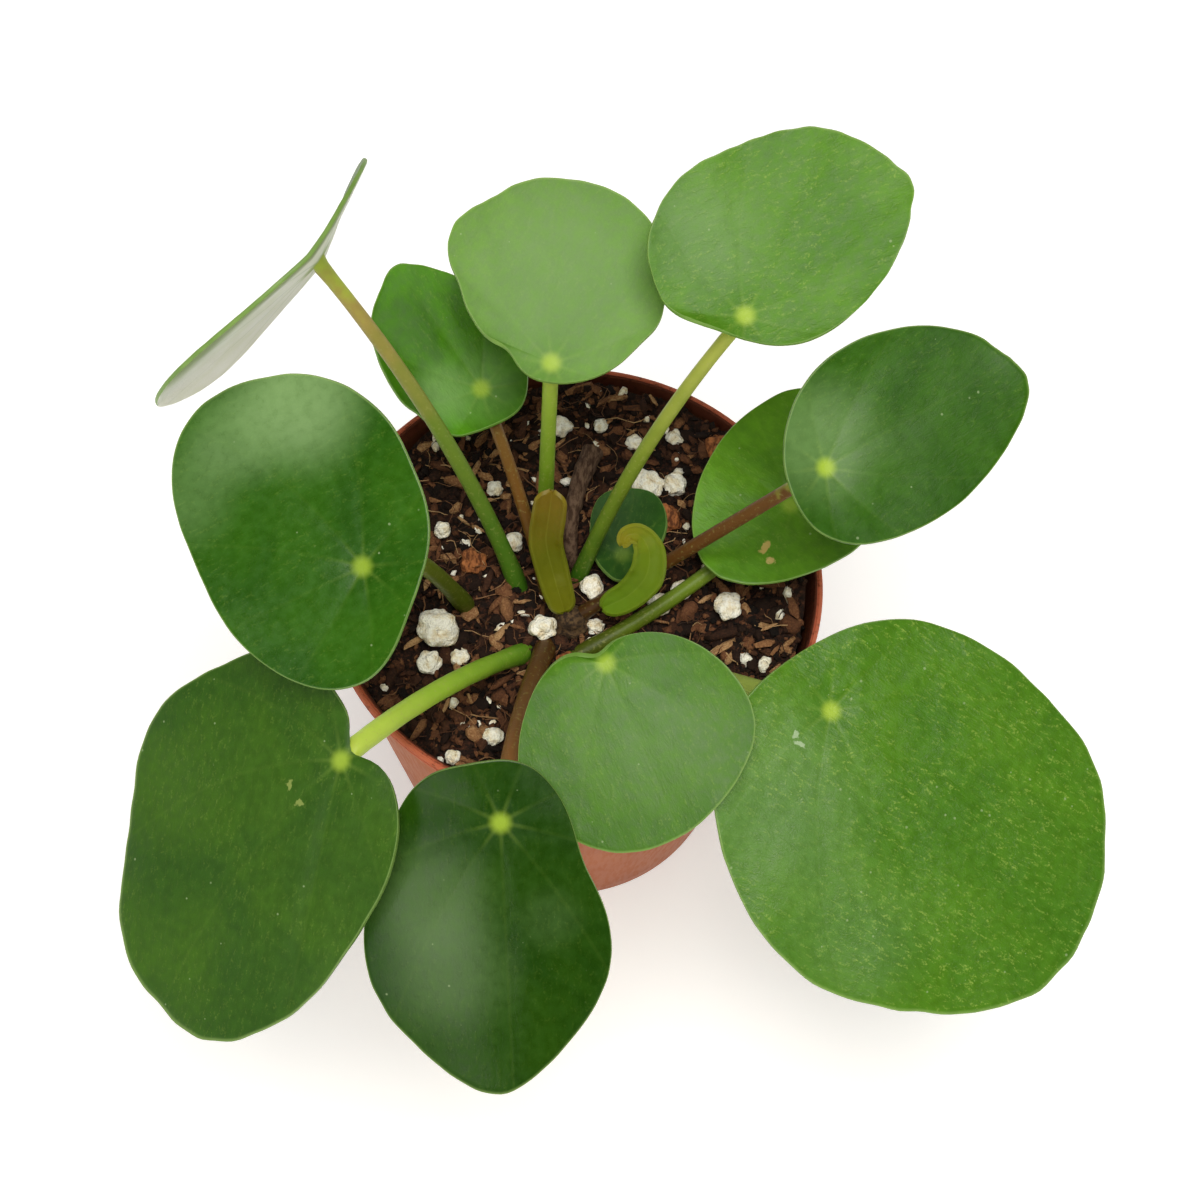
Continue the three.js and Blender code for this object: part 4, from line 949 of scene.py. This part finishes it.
# Sizes in mm, detail of the start shape, how flat and slim, lift over the surface in mm, and range of tones
scatterForms = (
    dict(name="soilDust", slot="potting_soil", count=3400, sizes=(0.5, 1.3), detail=1, flat=0.7, slim=1,
         lift=0.35, tones=(0, 0.85), seed=41),
    dict(name="soilCrumbs", slot="potting_soil", count=1500, sizes=(1.1, 2.5), detail=2, flat=0.7, slim=1,
         lift=0.5, tones=(0.05, 0.8), seed=42),
    dict(name="soilLumps", slot="potting_soil", count=260, sizes=(2.2, 4.2), detail=2, flat=0.6, slim=1,
         lift=0.55, tones=(0.15, 0.95), seed=43),
    dict(name="coirShreds", slot="potting_soil", count=300, sizes=(2.4, 6), detail=1, flat=0.3, slim=0.4,
         lift=1, tones=(0.45, 1), seed=45),
    dict(name="perliteCrumbs", slot="perlite_grain", count=120, sizes=(0.8, 2.6), detail=2, flat=0.8, slim=1,
         lift=0.9, tones=(0.3, 1), seed=44),
)
scatterRule = dict(reach=46.6, shapes=6, thinned=0.55, rough=0.75, coarse=1.3, fine=3.1, tilt=0.9, spin=6.28,
                   clearX=9.3, clearY=7.8, clearRadius=9, clearHeight=2.5, sunk=0.5, smooth=70)
fibres = dict(count=420, lengths=(2.5, 11), radii=(0.06, 0.17), steps=7, bow=0.35, bowScale=1.7, seed=57,
              shapes=8, shapeStep=3.3, sides=4, lean=0.5, lift=(0.5, 0.8))
crumbFinish = dict(name="coirPithCrumbs", roughness=0.88, ior=1.35, grit=2.4, detail=4, gritRough=0.7,
                   stray=0.55, stops=((0, "#0b0604"), (0.4, "#24130a"), (0.6, "#472a1a"), (0.78, "#6d452c"),
                                      (0.92, "#926844"), (1, "#b58f64")))
fibreFinish = dict(name="coirFibre", roughness=0.7, ior=1.45, grit=1.5, detail=3, gritRough=0.5, stray=0.4,
                   stops=((0.1, "#2c1a10"), (0.45, "#5e3a24"), (0.75, "#8a6240"), (0.95, "#bb976a")))
perliteFinish = dict(stain=0.5, pits=2.2, pitTint="#9a7f58",
                     stops=((0.3, "#cbb084"), (0.42, "#f2e6ca"), (0.56, "#fffbee")))
gritDepth = 0.25


def lumpShape(detail, seed, roughness):  # one irregular lump, 2 across
    clearSelection()
    bpy.ops.mesh.primitive_ico_sphere_add(subdivisions=detail, radius=1)
    made = bpy.context.object
    if detail > 1:
        applyModifier(made, "DECIMATE", ratio=scatterRule["thinned"])
    for vertex in made.data.vertices:
        direction = vertex.co.normalized()
        coarse = noise.noise(direction * scatterRule["coarse"] + Vector((seed, 0, 0)))
        fine = noise.noise(direction * scatterRule["fine"] + Vector((0, seed, 0)))
        vertex.co = direction * (1 + roughness * coarse + roughness * 0.5 * fine)
    corners = [vertex.co.copy() for vertex in made.data.vertices]
    faces = [tuple(polygon.vertices) for polygon in made.data.polygons]
    bpy.data.objects.remove(made)
    return corners, faces


def laid(name, bits, skin):  # many small shapes as one piece, each with its own tone
    corners, faces, tones = [], [], []
    for bitCorners, bitFaces, tone in bits:
        start = len(corners)
        corners += bitCorners
        faces += [tuple(start + k for k in face) for face in bitFaces]
        tones += [tone] * sum(len(face) for face in bitFaces)
    mesh = bpy.data.meshes.new(name)
    mesh.from_pydata(corners, [], faces)
    for loop, tone in zip(mesh.uv_layers.new(name="tonePlace").data, tones):
        loop.uv = (tone, 0.5)
    made = bpy.data.objects.new(name, mesh)
    bpy.context.collection.objects.link(made)
    smoothFinish(made, name, scatterRule["smooth"], skin)
    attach(made, "root")


def onGrain(x, y, room):  # whether a place lies on one of the large grains or chips
    return any(math.hypot(x - px, y - py) < size / 2 + room for px, py, size in perlitePlaces + barkPlaces)


def somewhere(draw, reach):  # a place on the soil, evenly spread over the circle of that reach
    away, turn = reach * math.sqrt(next(draw)), next(draw) * fullTurn
    return away, away * math.cos(turn), away * math.sin(turn)


def scatter(form, skin):
    draw, rule = seeded(form["seed"]), scatterRule
    shapes = [lumpShape(form["detail"], 7 * k + form["seed"], rule["rough"]) for k in range(rule["shapes"])]
    bits = []
    while len(bits) < form["count"]:
        away, x, y = somewhere(draw, rule["reach"])
        size = between(form["sizes"], next(draw) ** 2)
        pick, tilt = int(next(draw) * rule["shapes"]), next(draw) * rule["tilt"]
        spin, tone = next(draw) * rule["spin"], next(draw)
        wide, deep = 1 + 0.5 * next(draw), 0.75 + 0.3 * next(draw)
        stretch = Vector((wide, deep, form["flat"] * (0.8 + 0.4 * next(draw))))
        stretch.y *= form["slim"]
        if onGrain(x, y, size * 0.3 - 0.2) or away + size / 2 > rule["reach"] + 0.6:
            continue
        near = math.hypot(x - rule["clearX"], y - rule["clearY"]) < rule["clearRadius"] + size / 2
        if near and form["lift"] + size > rule["clearHeight"]:
            continue  # the smallest leaf lies just over the soil here
        height = soilHeight(x, y) + bank(x, y) - rule["sunk"] + form["lift"] * next(draw)
        matrix = (Matrix.Translation(Vector((x, y, height)) * mm) @ Matrix.Rotation(spin, 4, "Z")
                  @ Matrix.Rotation(tilt, 4, "X") @ Matrix.Diagonal((*(stretch * size / 2 * mm), 1)))
        corners, faces = shapes[pick]
        bits.append(([matrix @ corner for corner in corners], faces, between(form["tones"], tone)))
    laid(form["name"], bits, skin)


def coirSkin(look):  # coconut pith and fibre: matt, near black to straw, each bit with its own tone
    made, tree = newSkin(look["name"], look["roughness"], look["ior"])
    grit = put(tree, "TexNoise", {"Vector": objectMillimetres(tree), "Scale": look["grit"],
                                  "Detail": look["detail"], "Roughness": look["gritRough"]})
    moved = strayed(tree, layerValue(tree, "tonePlace"), grit, look["stray"])
    ramp = put(tree, "ValToRGB", (moved,), look["stops"])
    if look is fibreFinish:  # too thin for a relief
        return surfaced(made, ramp)
    return surfaced(made, ramp, relief=grit, depth=gritDepth)


def perliteSkin():  # expanded perlite: chalky volcanic glass foam, cream white, pitted, stained by the peat
    made, tree = newSkin("expandedPerlite", 0.75, 1.5)
    place = objectMillimetres(tree)
    stain = put(tree, "TexNoise",
                {"Vector": place, "Scale": perliteFinish["stain"], "Detail": 4, "Roughness": 0.6})
    pits = put(tree, "TexVoronoi", {"Vector": place, "Scale": perliteFinish["pits"]}, feature="F1")
    share = put(tree, "MapRange", (pits, 0.05, 0.3, 0.2, 0), **eased)
    ramp = put(tree, "ValToRGB", (stain,), perliteFinish["stops"])
    return surfaced(made, ramp, [(share, perliteFinish["pitTint"])], pits, gritDepth)


def buildGrain(name, node, place, shape, i, skin):
    x, y, size = place
    draw = seeded(shape["seed"] + i)
    stretch = Vector((0.9 + 0.25 * next(draw), 0.9 + 0.2 * next(draw), shape["flat"]))
    turn = next(draw) * math.pi
    seedPlace = Vector((grainForm["seedStep"] * i, 0, shape["seed"]))
    clearSelection()
    bpy.ops.mesh.primitive_ico_sphere_add(subdivisions=4, radius=1)
    made = bpy.context.object
    for vertex in made.data.vertices:
        direction = vertex.co.normalized()
        pit = max(0, noise.noise(direction * grainForm["pitScale"] + seedPlace)) ** grainForm["pitCurve"]
        swell = shape["swell"] + shape["lumps"] * noise.noise(direction * grainForm["lumpScale"] + seedPlace)
        vertex.co = direction * (swell - shape["pits"] * pit) * size / 2 * mm
        vertex.co = vertex.co * stretch
    height = soilHeight(x, y) + size / 2 * (shape["flat"] - shape["sunk"])
    made.data.transform(Matrix.Translation(Vector((x, y, height)) * mm) @ Matrix.Rotation(turn, 4, "Z"))
    smoothFinish(made, name, grainForm["smooth"], skin)
    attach(made, "root")
    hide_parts(node)


def fibreShape(seed):  # one bent fibre along X, 1 long, its thickness set when it is laid
    sides, steps, bow = fibres["sides"], fibres["steps"], fibres["bow"]
    corners, faces = [], []
    for k in range(steps):
        t = k / (steps - 1)
        middle = Vector((t - 0.5, bow * noise.noise(Vector((t * fibres["bowScale"], seed, 0))),
                         0.5 * bow * noise.noise(Vector((t * fibres["bowScale"], 0, seed)))))
        for j in range(sides):
            angle = j * math.pi / 2
            corners.append((middle, Vector((0, math.cos(angle), math.sin(angle))) * (1 - 0.5 * t)))
    for k in range(steps - 1):
        for j in range(sides):
            a, b = sides * k + j, sides * k + (j + 1) % sides
            faces.append((a, b, b + sides, a + sides))
    faces += [(3, 2, 1, 0), tuple(sides * (steps - 1) + j for j in range(sides))]
    return corners, faces


def scatterFibres():
    draw, reach = seeded(fibres["seed"]), scatterRule["reach"]
    shapes = [fibreShape(k * fibres["shapeStep"]) for k in range(fibres["shapes"])]
    bits = []
    for k in range(fibres["count"]):
        away, x, y = somewhere(draw, reach - 2)
        length = between(fibres["lengths"], next(draw) ** 2)
        radius = between(fibres["radii"], next(draw))
        spin, lean = next(draw) * scatterRule["spin"], (next(draw) - 0.5) * fibres["lean"]
        pick, tone = int(next(draw) * fibres["shapes"]), next(draw)
        length = min(length, 2 * (reach - away))
        turned = Matrix.Rotation(spin, 3, "Z") @ Matrix.Rotation(lean, 3, "Y")
        centre = Vector((x, y, soilHeight(x, y) + bank(x, y) + between(fibres["lift"], next(draw))))
        corners, faces = shapes[pick]
        placed = [(centre + turned @ (middle * length + rim * radius)) * mm for middle, rim in corners]
        bits.append((placed, faces, tone))
    laid("coirFibres", bits, coirSkin(fibreFinish))


crumbs, perlite = coirSkin(crumbFinish), perliteSkin()
for form in scatterForms:
    scatter(form, perlite if form["slot"] == "perlite_grain" else crumbs)
for k, place in enumerate(perlitePlaces):
    buildGrain(f"perliteGrain{k + 1:02d}", f"perlite_{k + 1:02d}", place, perliteShape, k, perlite)
bark = drySkin("compostedBark", "#5a2f14", "#b06c3c", 0.4)
for k, place in enumerate(barkPlaces):
    buildGrain(f"barkChip{k + 1}", f"bark_chip_{k + 1}", place, barkShape, k, bark)
scatterFibres()
print("soil filled in")


# Floor and light
light = dict(roomColour="#fdfdff", ceiling=0.13, wall=0.7, wallTop=(0.1, 0.4), floorGlow=0.4, floorSize=6,
             floorTints=("#f0f0ee", "#f5f5f3"), aim=(0, 0, 0.08))
lamps = (
    # name, place in metres, size, watts, colour
    ("overheadSoftbox", (0.1, -0.37, 1.75), 1.05, 26, "#fffcf6"),
    ("frontSoftbox", (-0.6, -1.2, 0.76), 0.5, 3, "#fffcf8"),
)


def areaLight(name, place, size, power, colour):
    bpy.ops.object.light_add(type="AREA", location=place)
    lamp = bpy.context.object
    lamp.name = name
    lamp.data.size = size
    lamp.data.energy = power
    lamp.data.color = linear(colour)[:3]
    lamp.rotation_euler = (Vector(light["aim"]) - Vector(place)).to_track_quat("-Z", "Y").to_euler()


def dressStage():
    clearSelection()
    bpy.ops.mesh.primitive_plane_add(size=light["floorSize"], location=(0, 0, -0.0001))
    floor = bpy.context.object
    floor.name = "paleFloor"
    made, tree = newSkin("paleCard", 0.95, 1.3)
    place = put(tree, "TexCoord").outputs["Object"]
    cloud = put(tree, "TexNoise", {"Vector": place, "Scale": 3, "Detail": 2})
    first, second = light["floorTints"]
    feed(tree.nodes["Principled BSDF"],
         {"Emission Color": "#ffffff", "Emission Strength": light["floorGlow"]})
    floor.data.materials.append(surfaced(made, first, [(cloud, second)]))
    world = bpy.data.worlds.new("softRoom")
    bpy.context.scene.world = world
    world.use_nodes = True
    around = put(world.node_tree, "SeparateXYZ", (put(world.node_tree, "TexCoord").outputs["Generated"],))
    glow = put(world.node_tree, "MapRange",
               (around.outputs[2], *light["wallTop"], light["wall"], light["ceiling"]), **eased)
    feed(world.node_tree.nodes["Background"], {0: light["roomColour"], 1: glow})
    for lamp in lamps:
        areaLight(*lamp)
    bpy.context.scene.view_settings.view_transform = "Standard"


dressStage()
print("stage lit")
